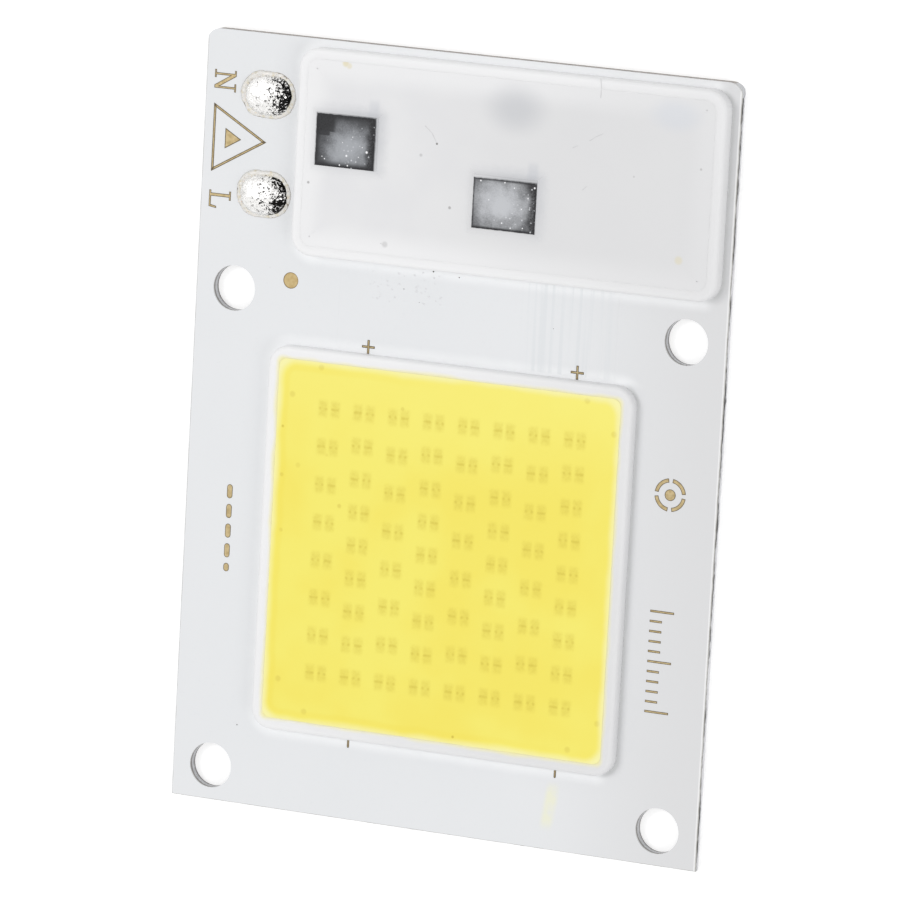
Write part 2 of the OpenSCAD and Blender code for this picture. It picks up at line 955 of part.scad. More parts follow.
// Same lead with a root that reaches into the body's draft, to be cut back to its face
module gull_lead_from_body(mid, w) {
    translate([ic_draft, 0, 0])
        gull_lead(mid, w);
    translate([0, -w / 2, mid - lead_t / 2])
        cube([ic_draft + EPS, w, lead_t]);
}

module ic_slug(ic) {
    color("lightgray")
        translate([ic.x - slug_l / 2, ic.y - slug_w / 2, z_land])
            cube([slug_l, slug_w, ic_standoff]);
}

module driver_ic_1_body() {
    ic_body(ic_1);
}

module driver_ic_1_leads() {
    ic_leads(ic_1);
}

module driver_ic_1_slug() {
    ic_slug(ic_1);
}

module driver_ic_2_body() {
    ic_body(ic_2);
}

module driver_ic_2_leads() {
    ic_leads(ic_2);
}

module driver_ic_2_slug() {
    ic_slug(ic_2);
}

module bridge_rectifier_body() {
    color("dimgray")
        translate([bridge.x, bridge.y, z_land + ic_standoff])
            moulded_body(bridge_l, bridge_w, bridge_h, ic_draft);
}

module bridge_rectifier_leads() {
    color("lightgray")
        difference() {
            for (sx = [0, 1], sy = [-1, 1])
                translate([bridge.x, bridge.y, z_land])
                    rotate(180 * sx)
                        translate([bridge_l / 2 - ic_draft, sy * bridge_pitch / 2, 0])
                            gull_lead_from_body(ic_standoff + bridge_h / 2, bridge_lead_w);
            bridge_rectifier_body();
        }
}

// Ceramic of a chip resistor, lying along X at a place on its lands
module resistor_body(place, l, w) {
    color("ivory")
        translate([place.x - l / 2 + cap_t, place.y - w / 2, z_land + cap_t])
            cube([l - 2 * cap_t, w, ceramic_t]);
}

// Metal ends that wrap over the ceramic's top, end and underside
module resistor_ends(place, l, w) {
    color("lightgray")
        difference() {
            for (s = [-1, 1])
                translate([place.x + s * (l / 2 - cap_l / 2), place.y, z_land + cap_t + ceramic_t / 2])
                    cube([cap_l, w, ceramic_t + 2 * cap_t], center = true);
            resistor_body(place, l, w);
        }
}

module fuse_resistor_body() {
    resistor_body(fuse, fuse_l, fuse_w);
}

module fuse_resistor_ends() {
    resistor_ends(fuse, fuse_l, fuse_w);
}

module sense_resistor_1_body() {
    resistor_body(sense_1, sense_l, sense_w);
}

module sense_resistor_1_ends() {
    resistor_ends(sense_1, sense_l, sense_w);
}

module sense_resistor_2_body() {
    resistor_body(sense_2, sense_l, sense_w);
}

module sense_resistor_2_ends() {
    resistor_ends(sense_2, sense_l, sense_w);
}

// Silicone that wets a chip's sides and climbs them in a hollow curve. The rollers that
// shape it dip below the potting's surface, so that the curve meets it at a small angle.
module chip_climb(ic) {
    rise = z_ic - climb_drop - z_potting;
    roller_r = (pow(climb_w, 2) + pow(rise, 2)) / (2 * rise);
    foot = grown(ic_crown, climb_w);
    difference() {
        translate([ic.x, ic.y, z_potting - climb_sink])
            linear_extrude(rise + climb_sink)
                centred(foot);
        translate([ic.x, ic.y, z_potting + roller_r - climb_dip])
            for (s = [-1, 1]) {
                translate([s * foot.x / 2, 0, 0])
                    rotate([90, 0, 0])
                        cylinder(r = roller_r, h = 2 * foot.y, center = true);
                translate([0, s * foot.y / 2, 0])
                    rotate([0, 90, 0])
                        cylinder(r = roller_r, h = 2 * foot.x, center = true);
            }
    }
}

module driver_potting() {
    color("snow")
        difference() {
            union() {
                foil(z_front, potting_h)
                    translate(driver_mid)
                        rounded_rect(driver_path, driver_dam_corner_r);
                foil(z_land, mask_t)
                    driver_openings();
                chip_climb(ic_1);
                chip_climb(ic_2);
            }
            driver_dam();
            for (ic = [ic_1, ic_2]) {
                ic_body(ic);
                ic_leads(ic);
                ic_slug(ic);
            }
            bridge_rectifier_body();
            bridge_rectifier_leads();
            fuse_resistor_body();
            fuse_resistor_ends();
            sense_resistor_1_body();
            sense_resistor_1_ends();
            sense_resistor_2_body();
            sense_resistor_2_ends();
        }
}

base_plate();
dielectric_layer();
copper_neutral();
copper_line();
copper_supply();
copper_fused_supply();
copper_string_end();
copper_tap();
copper_ground();
copper_sense_1();
copper_sense_2();
copper_links();
copper_spare_lands();
copper_fiducial();
copper_alignment_dots();
solder_mask();
solder_joint_neutral();
solder_joint_line();
led_dam();
phosphor_fill();
led_column(1);  // led_column_1
led_column(2);  // led_column_2
led_column(3);  // led_column_3
led_column(4);  // led_column_4
led_column(5);  // led_column_5
led_column(6);  // led_column_6
led_column(7);  // led_column_7
led_column(8);  // led_column_8
bond_wires(1);  // bond_wires_1
bond_wires(2);  // bond_wires_2
bond_wires(3);  // bond_wires_3
bond_wires(4);  // bond_wires_4
bond_wires(5);  // bond_wires_5
bond_wires(6);  // bond_wires_6
bond_wires(7);  // bond_wires_7
bond_wires(8);  // bond_wires_8
driver_dam();
driver_potting();
driver_ic_1_body();
driver_ic_1_leads();
driver_ic_1_slug();
driver_ic_2_body();
driver_ic_2_leads();
driver_ic_2_slug();
bridge_rectifier_body();
bridge_rectifier_leads();
fuse_resistor_body();
fuse_resistor_ends();
sense_resistor_1_body();
sense_resistor_1_ends();
sense_resistor_2_body();
sense_resistor_2_ends();
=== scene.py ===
"""Looks of a chip-on-board LED module.

A white board carries a yellow LED field inside a dam, a potted driver and two solder joints.
Places in shaders, marks and specks are in millimetres, and everything else is in metres.
"""
import math
import random

import bmesh
import bpy
from mathutils import Matrix, Vector, noise


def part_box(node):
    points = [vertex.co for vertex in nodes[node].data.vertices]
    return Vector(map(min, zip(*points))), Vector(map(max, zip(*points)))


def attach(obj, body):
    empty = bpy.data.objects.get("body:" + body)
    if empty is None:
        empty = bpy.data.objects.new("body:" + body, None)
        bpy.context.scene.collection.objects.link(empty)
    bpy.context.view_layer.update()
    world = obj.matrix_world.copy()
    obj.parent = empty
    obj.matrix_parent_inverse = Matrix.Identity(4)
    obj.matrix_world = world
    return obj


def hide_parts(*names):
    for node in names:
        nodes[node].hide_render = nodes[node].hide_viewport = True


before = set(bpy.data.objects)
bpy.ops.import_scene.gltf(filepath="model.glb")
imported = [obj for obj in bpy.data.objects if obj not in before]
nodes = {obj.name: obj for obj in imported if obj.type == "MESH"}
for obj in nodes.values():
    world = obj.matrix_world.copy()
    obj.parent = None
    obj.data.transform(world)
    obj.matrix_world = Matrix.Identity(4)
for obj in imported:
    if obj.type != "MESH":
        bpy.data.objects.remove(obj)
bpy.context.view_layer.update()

MM = 0.001
# How deep the torn face of a snapped web goes
TEAR = 0.05 * MM
# Lowest and highest level of the webs' own points, and of the torn faces set on them
WEB_POINTS = (0.2 * MM, 0.69 * MM)
WEB_FACE = (0.285 * MM, 0.645 * MM)
# How far the potting lies below the crown of its dam
POTTING_DROP = 0.07 * MM
# Radius of the dams' corners at their outer edge, in millimetres
DAM_CORNER = 1.4
# Length of a die along its column, in millimetres
DIE_LENGTH = 1.2
# How far depth and the lie of the light carry a buried mark sideways, in millimetres
SEEN_ASIDE = (0.36, 0.16)
# World's light on the part, and the floor's colour and its own glow towards the camera
WORLD_LEVEL = 0.735
FLOOR_COLOUR = (0.8, 0.8, 0.8, 1)
FLOOR_GLOW = 0.42


# ---- Places, worked out from the CAD nodes ----

def middle_of(name):
    low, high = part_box(name)
    return (low + high) / 2


mask_low, mask_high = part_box("solder_mask")
plate_low, plate_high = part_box("base_plate")
field_low, field_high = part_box("led_dam")
fill_low, fill_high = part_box("phosphor_fill")
driver_low, driver_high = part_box("driver_dam")
driver_mid = middle_of("driver_dam")
neutral_mid = middle_of("solder_joint_neutral")
line_mid = middle_of("solder_joint_line")
ic_1_mid = middle_of("driver_ic_1_body")
ic_2_mid = middle_of("driver_ic_2_body")
front_z = mask_high.z
potting_top = driver_high.z - POTTING_DROP


# ---- Shader maths ----

class Field:
    """A value that varies over a surface, built from Math nodes with ordinary operators."""

    def __init__(self, tree, value):
        self.tree = tree
        self.value = value

    def put(self, socket):
        if isinstance(self.value, (int, float)):
            socket.default_value = self.value
        else:
            self.tree.links.new(self.value, socket)

    def math(self, kind, *others):
        node = self.tree.nodes.new("ShaderNodeMath")
        node.operation = kind
        self.put(node.inputs[0])
        for slot, other in enumerate(others, 1):
            self.lift(other).put(node.inputs[slot])
        return Field(self.tree, node.outputs[0])

    def lift(self, other):
        return other if isinstance(other, Field) else Field(self.tree, other)

    def __add__(self, other):
        return self.math("ADD", other)

    def __sub__(self, other):
        return self.math("SUBTRACT", other)

    def __mul__(self, other):
        return self.math("MULTIPLY", other)

    def __truediv__(self, other):
        return self.math("DIVIDE", other)

    def __rsub__(self, other):
        return self.lift(other).math("SUBTRACT", self)

    def abs(self):
        return self.math("ABSOLUTE")

    def floor(self):
        return self.math("FLOOR")

    def modulo(self, other):
        return self.math("FLOORED_MODULO", other)

    def least(self, other):
        return self.math("MINIMUM", other)

    def most(self, other):
        return self.math("MAXIMUM", other)

    def root(self):
        return self.math("SQRT")

    def ease(self, start, end, low=0.0, high=1.0):
        """Smooth step from low, where the value is start, to high, where it is end."""
        node = self.tree.nodes.new("ShaderNodeMapRange")
        node.interpolation_type = "SMOOTHSTEP"
        node.inputs["From Min"].default_value = start
        node.inputs["From Max"].default_value = end
        node.inputs["To Min"].default_value = low
        node.inputs["To Max"].default_value = high
        self.tree.links.new(self.value, node.inputs["Value"])
        return Field(self.tree, node.outputs["Result"])


class Finish:
    """A node material with one Principled shader, its surface pattern in millimetres."""

    def __init__(self, name, rough, metal=0.0, specular=0.5, ior=1.5):
        self.material = bpy.data.materials.new(name)
        self.material.use_nodes = True
        self.tree = self.material.node_tree
        self.shader = self.tree.nodes["Principled BSDF"]
        self.set("Roughness", rough)
        self.set("Metallic", metal)
        self.set("Specular IOR Level", specular)
        self.set("IOR", ior)
        coordinates = self.tree.nodes.new("ShaderNodeTexCoord")
        scale = self.tree.nodes.new("ShaderNodeMapping")
        scale.inputs["Scale"].default_value = (1 / MM, 1 / MM, 1 / MM)
        self.tree.links.new(coordinates.outputs["Object"], scale.inputs["Vector"])
        self.where = scale.outputs["Vector"]
        split = self.tree.nodes.new("ShaderNodeSeparateXYZ")
        self.tree.links.new(self.where, split.inputs[0])
        self.x, self.y, self.z = (Field(self.tree, split.outputs[i]) for i in range(3))

    def set(self, socket, value):
        self.shader.inputs[socket].default_value = value

    def noise(self, size, detail=3.0, rough=0.5, stretch=(1, 1, 1), shift=0.0):
        """Noise whose features are about size millimetres across, from 0 to 1."""
        node = self.pattern("ShaderNodeTexNoise", size, stretch, shift)
        node.inputs["Detail"].default_value = detail
        node.inputs["Roughness"].default_value = rough
        return Field(self.tree, node.outputs["Fac"])

    def cells(self, size, shift=0.0):
        """Distance to the nearest of scattered points, about size millimetres apart."""
        node = self.pattern("ShaderNodeTexVoronoi", size, (1, 1, 1), shift)
        return Field(self.tree, node.outputs["Distance"])

    def pattern(self, kind, size, stretch, shift):
        mapping = self.tree.nodes.new("ShaderNodeMapping")
        mapping.inputs["Scale"].default_value = tuple(s / size for s in stretch)
        mapping.inputs["Location"].default_value = (shift, shift, shift)
        self.tree.links.new(self.where, mapping.inputs["Vector"])
        node = self.tree.nodes.new(kind)
        node.inputs["Scale"].default_value = 1.0
        self.tree.links.new(mapping.outputs["Vector"], node.inputs["Vector"])
        return node

    def paint(self, under, over, share):
        """Mixes two colours, each a socket or a colour, by a field."""
        node = self.tree.nodes.new("ShaderNodeMix")
        node.data_type = "RGBA"
        share.put(node.inputs["Factor"])
        for socket, colour in ((node.inputs["A"], under), (node.inputs["B"], over)):
            if isinstance(colour, bpy.types.NodeSocket):
                self.tree.links.new(colour, socket)
            else:
                socket.default_value = colour
        return node.outputs["Result"]

    def colour(self, value):
        if isinstance(value, bpy.types.NodeSocket):
            self.tree.links.new(value, self.shader.inputs["Base Color"])
        else:
            self.set("Base Color", value)

    def roughness(self, field):
        field.put(self.shader.inputs["Roughness"])

    def bump(self, field, depth):
        """Relief of depth millimetres where the field goes from 0 to 1."""
        node = self.tree.nodes.new("ShaderNodeBump")
        node.inputs["Strength"].default_value = 1.0
        node.inputs["Distance"].default_value = depth * MM
        field.put(node.inputs["Height"])
        self.tree.links.new(node.outputs["Normal"], self.shader.inputs["Normal"])


def rgb(r, g, b):
    """A display colour, from 0 to 255, as the linear colour that a shader takes."""
    def linear(c):
        c = c / 255
        return c / 12.92 if c <= 0.04045 else ((c + 0.055) / 1.055) ** 2.4
    return (linear(r), linear(g), linear(b), 1.0)


def length_of(a, b):
    return (a * a + b * b).root()


def edge_distance(f, low, high, radius):
    """Distance inwards from the edge of a rectangle with round corners, in millimetres."""
    mid, half = (low + high) / 2 / MM, (high - low) / 2 / MM
    along = (f.x - mid.x).abs() - (half.x - radius)
    across = (f.y - mid.y).abs() - (half.y - radius)
    corner = length_of(along.most(0.0), across.most(0.0))
    return 0.0 - (corner + along.most(across).least(0.0) - radius)


def spots(f, places):
    """Soft round spots, each given as x, y, radius and strength."""
    total = None
    for x, y, radius, strength in places:
        spot = length_of(f.x - x, f.y - y).ease(radius * 0.35, radius, strength, 0.0)
        total = spot if total is None else total.most(spot)
    return total


def round_spot(f, centre, shift, squeeze, start, end, strength):
    """A soft oval spot over a buried part, shifted from its centre; squeeze is its width for its height."""
    x = (f.x - centre.x / MM - shift) * squeeze
    y = f.y - centre.y / MM - shift
    return length_of(x, y).ease(start, end, strength, 0.0)


def two_tone(name, light, dark, patch, grain, relief, contrast=None, detail=3.0, **surface):
    """A finish that wavers between two colours from patch to patch, with a fine grain in relief."""
    f = Finish(name, **surface)
    share = f.noise(patch, detail=detail)
    if contrast is not None:
        share = share.ease(*contrast)
    f.colour(f.paint(light, dark, share))
    f.bump(f.noise(grain), relief)
    return f.material


# ---- Finishes ----
# Marks seen through silicone are drawn at its top, shifted by how far the depth carries them.

SMEAR = (8.95, -24.1)
COPPER_EDGES = (-8.95, 10.88, 11.90)


def ramp(across, place, *ends):
    """A narrow step at a place, such as the edge of the foil under the mask."""
    return across.ease(place - 0.04, place + 0.04, *ends)


def white_mask():
    f = Finish("white_mask", rough=0.42, specular=0.35)
    cloud = f.noise(9.0, detail=2.0)
    grain = f.noise(0.25, detail=2.0, shift=3.1)
    base = f.paint(rgb(226, 228, 230), rgb(231, 232, 234), cloud)
    # Painted shade towards the right
    base = f.paint(base, rgb(217, 217, 218), f.x.ease(6.0, 20.0, 0.0, 0.85))
    base = f.paint(base, rgb(218, 220, 223), grain.ease(0.6, 0.85, 0.0, 0.25))
    # Painted light round the foot of the dams except on their right, and a painted shadow along their
    # right-hand foot
    field_foot = edge_distance(f, field_low, field_high, DAM_CORNER)
    foot = field_foot.most(edge_distance(f, driver_low, driver_high, DAM_CORNER))
    foot = foot + (f.noise(1.5, shift=2.0) - 0.5) * 0.2
    right_of_field = f.x.ease(12.2, 13.4) * f.y.ease(5.6, 6.2, 1.0, 0.0)
    on_right = right_of_field.most(f.x.ease(18.0, 19.2))
    base = f.paint(base, rgb(251, 252, 253), foot.ease(-1.0, 0.0, 0.0, 0.75) * (1.0 - on_right))
    base = f.paint(base, rgb(195, 197, 196), foot.ease(-0.34, -0.08, 0.0, 0.5) * on_right)
    # A thin grey line, broken in places, along the snapped left edge, and a painted highlight along the
    # right edge
    left_line_breaks = f.noise(1.3, detail=3.0, shift=9.0).ease(0.36, 0.6, 0.25, 1.0)
    from_left = f.x - mask_low.x / MM
    from_right = mask_high.x / MM - f.x
    base = f.paint(base, rgb(196, 196, 195), from_left.ease(0.03, 0.12, 1.0, 0.0) * left_line_breaks)
    base = f.paint(base, rgb(244, 244, 244), from_right.ease(0.04, 0.12, 0.9, 0.0))
    # A pale yellow smear of flux near the scored end
    along = f.y - SMEAR[1]
    smear_x = (f.x - SMEAR[0] - along * 0.13).abs().ease(0.2, 0.65, 1.0, 0.0)
    smear_y = along.abs().ease(0.9, 1.9, 1.0, 0.0)
    thin = f.noise(1.1, shift=8.0).ease(0.25, 0.6, 0.2, 0.9)
    base = f.paint(base, rgb(235, 235, 212), smear_x * smear_y * thin)
    # Edges of the copper under the mask, between the driver and the LED field
    left_edge, track_start, track_end = COPPER_EDGES
    span = f.y.ease(5.9, 6.1) * f.y.ease(12.0, 12.2, 1.0, 0.0)
    step = ramp(f.x, left_edge) * ramp(f.x, track_start, 1.0, 0.0)
    track = ramp(f.x, track_start) * ramp(f.x, track_end, 1.0, 0.0)
    streak = f.noise(0.3, detail=1.0, stretch=(1, 0.02, 1), shift=5.0)
    striped = f.x.ease(4.5, 5.5) * f.x.ease(11.0, 12.0, 1.0, 0.0) * span
    base = f.paint(base, rgb(214, 218, 221), streak.ease(0.45, 0.7, 0.0, 0.35) * striped)
    f.colour(base)
    relief = (step * 0.6 + track) * span * 0.7 + f.noise(0.5, detail=2.0) * 0.10
    f.bump(relief + streak * striped * 0.15, 0.02)
    return f.material


def fiducial_gold():
    """Bare gold with painted shade round the edge of its opening."""
    f = Finish("fiducial_gold", rough=0.4, metal=0.3, specular=0.4)
    mid = middle_of("copper_fiducial")
    out = length_of(f.x - mid.x / MM, f.y - mid.y / MM)
    colour = f.paint(rgb(195, 173, 124), rgb(182, 157, 106), f.noise(0.3).ease(0.35, 0.7))
    f.colour(f.paint(colour, rgb(122, 98, 60), out.ease(0.49, 0.56)))
    f.bump(f.noise(0.08), 0.006)
    return f.material


def aluminium():
    """Brushed plate, milled brown along its routed end."""
    f = Finish("aluminium_base", rough=0.4, metal=0.75)
    brushed = f.noise(0.06, detail=4.0, stretch=(1, 0.02, 1))
    routed = (f.y - plate_high.y / MM).ease(-0.1, -0.01)
    base = f.paint(rgb(200, 201, 203), rgb(166, 167, 170), brushed.ease(0.35, 0.7))
    tooth = f.noise(0.12, detail=3.0, stretch=(1, 1, 0.15), shift=3.0)
    milled = f.paint(rgb(150, 142, 135), rgb(104, 95, 88), tooth.ease(0.35, 0.65))
    base = f.paint(base, milled, routed)
    # Brown burrs at both ends of the drilled holes
    deep = f.z - plate_low.z / MM
    thick = (plate_high.z - plate_low.z) / MM
    ragged = (f.noise(0.4, detail=2.0, shift=6.0) - 0.5) * 0.12
    front_burr = (deep + ragged).ease(thick - 0.22, thick - 0.12)
    back_burr = deep.ease(0.005, 0.02) * (deep + ragged).ease(0.12, 0.24, 1.0, 0.0)
    drilled = edge_distance(f, plate_low, plate_high, 0.5).ease(0.6, 0.8)
    base = f.paint(base, rgb(104, 97, 92), front_burr.most(back_burr) * drilled * 0.75)
    f.colour(base)
    f.roughness(brushed.ease(0.3, 0.7, 0.3, 0.5))
    f.bump(brushed, 0.004)
    return f.material


def snapped_metal():
    """Torn aluminium, dark close under the front score and bright below."""
    f = Finish("snapped_metal", rough=0.5, metal=0.6)
    tear = f.noise(0.7, detail=4.0, rough=0.6, stretch=(1, 1, 3.0))
    patch = f.noise(4.0, detail=1.0, shift=4.0)
    lower = f.z.ease(0.44, 0.62, 0.16, -0.1)
    bright = (tear * 0.6 + patch * 0.9 + lower).ease(0.58, 0.86)
    f.colour(f.paint(rgb(50, 49, 48), rgb(218, 218, 220), bright))
    f.bump(tear, 0.03)
    return f.material


def shore_wave(f):
    """How far the edge of the yellow wanders, in millimetres."""
    return (f.noise(2.8, detail=2.0, shift=3.0) - 0.5) * 0.45


def white_silicone(name, tint=None):
    """White silicone; tint is the box of a fill whose colour shows through the foot of the bead."""
    f = Finish(name, rough=0.5, specular=0.3)
    f.set("Subsurface Weight", 0.3)
    f.set("Subsurface Radius", (1.0, 1.0, 1.0))
    f.set("Subsurface Scale", 0.5 * MM)
    # Painted light on the left of the dams and painted shade towards their right and bottom, wavering with a
    # cloud
    cloud = (f.noise(5.0, detail=2.0, shift=2.0) - 0.5) * 0.3
    shaded = (f.x * 0.04 - f.y * 0.02 + cloud).ease(-0.5, 0.9)
    base = f.paint(rgb(239, 239, 240), rgb(225, 225, 226), shaded)
    if tint is not None:
        out = 0.0 - edge_distance(f, tint[0], tint[1], 0.3)
        base = f.paint(rgb(243, 236, 176), base, (out + shore_wave(f)).ease(-0.12, 0.34))
    f.colour(base)
    f.bump(f.noise(2.2, detail=2.0, shift=1.0) + f.noise(0.3, detail=2.0) * 0.06, 0.03)
    return f.material


# Spots on the potting, each given as x, y, radius and strength
POTTING_STAINS = [
    (-8.85, 25.9, 0.35, 0.55), (16.5, 14.95, 0.4, 0.35), (18.5, 26.75, 0.4, 0.4), (-8.6, 25.75, 0.3, 0.4)]
POTTING_SPECKS = [
    (-1.75, 21.05, 0.11, 0.95), (-2.9, 20.15, 0.16, 0.3), (-11.25, 17.4, 0.13, 0.6),
    (-0.55, 16.75, 0.15, 0.55), (-5.25, 13.7, 0.3, 0.25), (-3.3, 26.1, 0.15, 0.2),
    (17.75, 21.3, 0.12, 0.35), (12.9, 20.3, 0.1, 0.25)]


def potting_silicone():
    """Milky silicone, grey where something dark lies close under it, with painted light near its dam and
    painted shade towards the right and round the chips.
    """
    f = Finish("potting_silicone", rough=0.45, specular=0.3)
    cloud = f.noise(4.0, detail=2.0, shift=2.0)
    base = f.paint(rgb(230, 230, 231), rgb(226, 226, 228), cloud.ease(0.3, 0.7))
    # Painted shade towards the right
    base = f.paint(base, rgb(219, 219, 220), f.x.ease(-9.0, 8.0, 0.0, 0.8))
    # Painted light near the dam, strongest on its left and upper sides
    inside = edge_distance(f, driver_low, driver_high, DAM_CORNER)
    lit = (f.y * 0.5 - f.x).ease(-12.0, 16.0, 0.2, 1.0)
    base = f.paint(base, rgb(238, 238, 239), inside.ease(1.0, 2.8, 0.8, 0.0) * lit)
    bridge = round_spot(f, middle_of("bridge_rectifier_body"), 0.2, 0.75, 0.3, 2.3, 0.52)
    base = f.paint(base, rgb(186, 188, 193), bridge)
    fuse = round_spot(f, middle_of("fuse_resistor_body"), 0.2, 0.6, 0.4, 1.5, 0.4)
    base = f.paint(base, rgb(208, 213, 222), fuse)
    for chip in ("driver_ic_1_body", "driver_ic_2_body"):
        low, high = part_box(chip)
        mid = middle_of(chip)
        crown = Vector((0.1, 0.1, 0)) * MM
        # A grey halo round each chip: its dark body seen through thin silicone, with painted shade that is
        # stronger on its upper and right sides
        away = 0.0 - edge_distance(f, low + crown, high - crown, 0.05)
        cloudy = (f.noise(0.5, detail=3.0, shift=5.0) - 0.5) * 0.4
        shaded = (f.x - mid.x / MM + f.y - mid.y / MM).ease(-1.5, 3.0, 0.0, 1.0)
        halo = (away + cloudy).ease(-0.1, 1.0, 1.0, 0.0)
        base = f.paint(base, rgb(206, 207, 210), halo * (shaded * 0.75 + 0.2))
        leads = (f.y - high.y / MM - 0.4).abs().ease(0.3, 0.9, 1.0, 0.0)
        lead = (f.x - mid.x / MM - 1.9).abs().ease(0.2, 0.55, 0.3, 0.0)
        base = f.paint(base, rgb(184, 188, 196), lead * leads)
    base = f.paint(base, rgb(222, 208, 150), spots(f, POTTING_STAINS))
    base = f.paint(base, rgb(120, 118, 116), spots(f, POTTING_SPECKS))
    f.colour(base)
    f.bump(f.noise(2.0, detail=2.0, shift=1.0) + f.noise(0.3, detail=2.0) * 0.08, 0.03)
    return f.material


COLUMNS = 8
# Rows of cells that the field's first column has; the next one has one more, and so on by turns
ROWS = 8
# Dust in the phosphor, each given as x, y, radius and strength
PHOSPHOR_SPECKS = [
    (-3.35, 2.4, 0.2, 0.3), (-7.75, -4.95, 0.22, 0.35), (-12.35, 0.15, 0.14, 0.7),
    (-12.25, -3.25, 0.2, 0.4), (-11.05, -2.45, 0.25, 0.2), (-12.1, -7.15, 0.2, 0.3),
    (1.75, -20.05, 0.14, 0.8), (-8.9, -1.5, 0.15, 0.2)]


def alignment_shadows():
    """Shadows of the eight alignment dots, two beside each corner of the field."""
    across, along = SEEN_ASIDE
    return [(side * x + across, y + along, 0.3, 0.28) for side in (-1, 1)
            for x, y in ((12.1, 2.32), (10.0, 4.42), (12.1, -17.85), (10.0, -19.95))]


def phosphor():
    """Yellow silicone over rows of paired dice, which show through it faintly."""
    f = Finish("phosphor_silicone", rough=0.38, specular=0.35)
    first_low, first_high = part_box("led_column_1")
    first_mid = middle_of("led_column_1")
    pitch = (middle_of("led_column_8") - first_mid).x / (COLUMNS - 1) / MM
    span = (first_high - first_low).y / MM - DIE_LENGTH
    first_row = first_high.y / MM - DIE_LENGTH / 2
    through_x = f.x - SEEN_ASIDE[0]
    through_y = f.y - SEEN_ASIDE[1]
    column = (through_x / pitch + COLUMNS / 2).floor()
    in_column = through_x - (column - (COLUMNS - 1) / 2) * pitch
    odd = column.modulo(2.0)
    row_pitch = odd.lift(span) / (odd + (ROWS - 1))
    row = ((first_row - through_y) / row_pitch + 0.5).floor()
    in_row = through_y - (first_row - row * row_pitch)
    half_width = pitch * COLUMNS / 2
    half_height = span / 2 + 0.9
    within = through_x.abs().ease(half_width - 0.01, half_width, 1.0, 0.0)
    within = within * (through_y - first_mid.y / MM).abs().ease(half_height, half_height + 0.01, 1.0, 0.0)
    blur = (f.noise(0.16, detail=2.0) - 0.5) * 0.16
    beside = in_column.abs() - 0.46
    from_axis = beside.abs() + blur
    die = from_axis.ease(0.16, 0.50, 1.0, 0.0) * (in_row.abs() + blur).ease(0.34, 0.78, 1.0, 0.0)
    bar = (in_row.abs() + blur * 0.6).ease(0.0, 0.16, 1.0, 0.0) * from_axis.ease(0.24, 0.36, 1.0, 0.0)
    dot = length_of(beside.abs() - 0.22, in_row).ease(0.02, 0.17, 1.0, 0.0)
    left = in_column.ease(-0.01, 0.01, 1.0, 0.0)
    even_cell = 1.0 - (column + row).modulo(2.0)
    dotted = (left + even_cell - 1.0).abs()
    contact = dot * dotted + bar * (1.0 - dotted)
    mottle = f.noise(0.22, detail=3.0, shift=6.0)
    mark = (die * (mottle.ease(0.3, 0.7, 0.35, 0.6)) + contact * 0.5) * within
    base = f.paint(rgb(244, 233, 108), rgb(243, 228, 98), f.noise(6.0, detail=2.0).ease(0.35, 0.65))
    base = f.paint(base, rgb(246, 236, 118), f.y.ease(-4.0, 5.0, 0.0, 0.8))
    base = f.paint(base, rgb(206, 186, 62), mark * 0.62)
    base = f.paint(base, rgb(196, 172, 58), spots(f, alignment_shadows() + PHOSPHOR_SPECKS))
    # The yellow thins out towards the dam
    from_shore = edge_distance(f, fill_low, fill_high, 1.3) + shore_wave(f)
    lower_left = (f.x + f.y * 0.5).ease(-12.0, 6.0, 1.0, 0.0)
    thick = (from_shore - 0.62).abs().ease(0.05, 0.32, 0.28, 0.0)
    base = f.paint(base, rgb(240, 221, 78), thick * lower_left)
    base = f.paint(rgb(246, 241, 172), base, from_shore.ease(-0.15, 0.5))
    f.colour(base)
    f.bump(f.noise(1.6, detail=2.0, shift=9.0) + die * within * 0.04, 0.03)
    return f.material


def round_centre(centre, places, strength):
    """Spots given from a centre, as x, y and radius, turned into the part's own places."""
    return [(centre.x / MM + x, centre.y / MM + y, radius, strength) for x, y, radius in places]


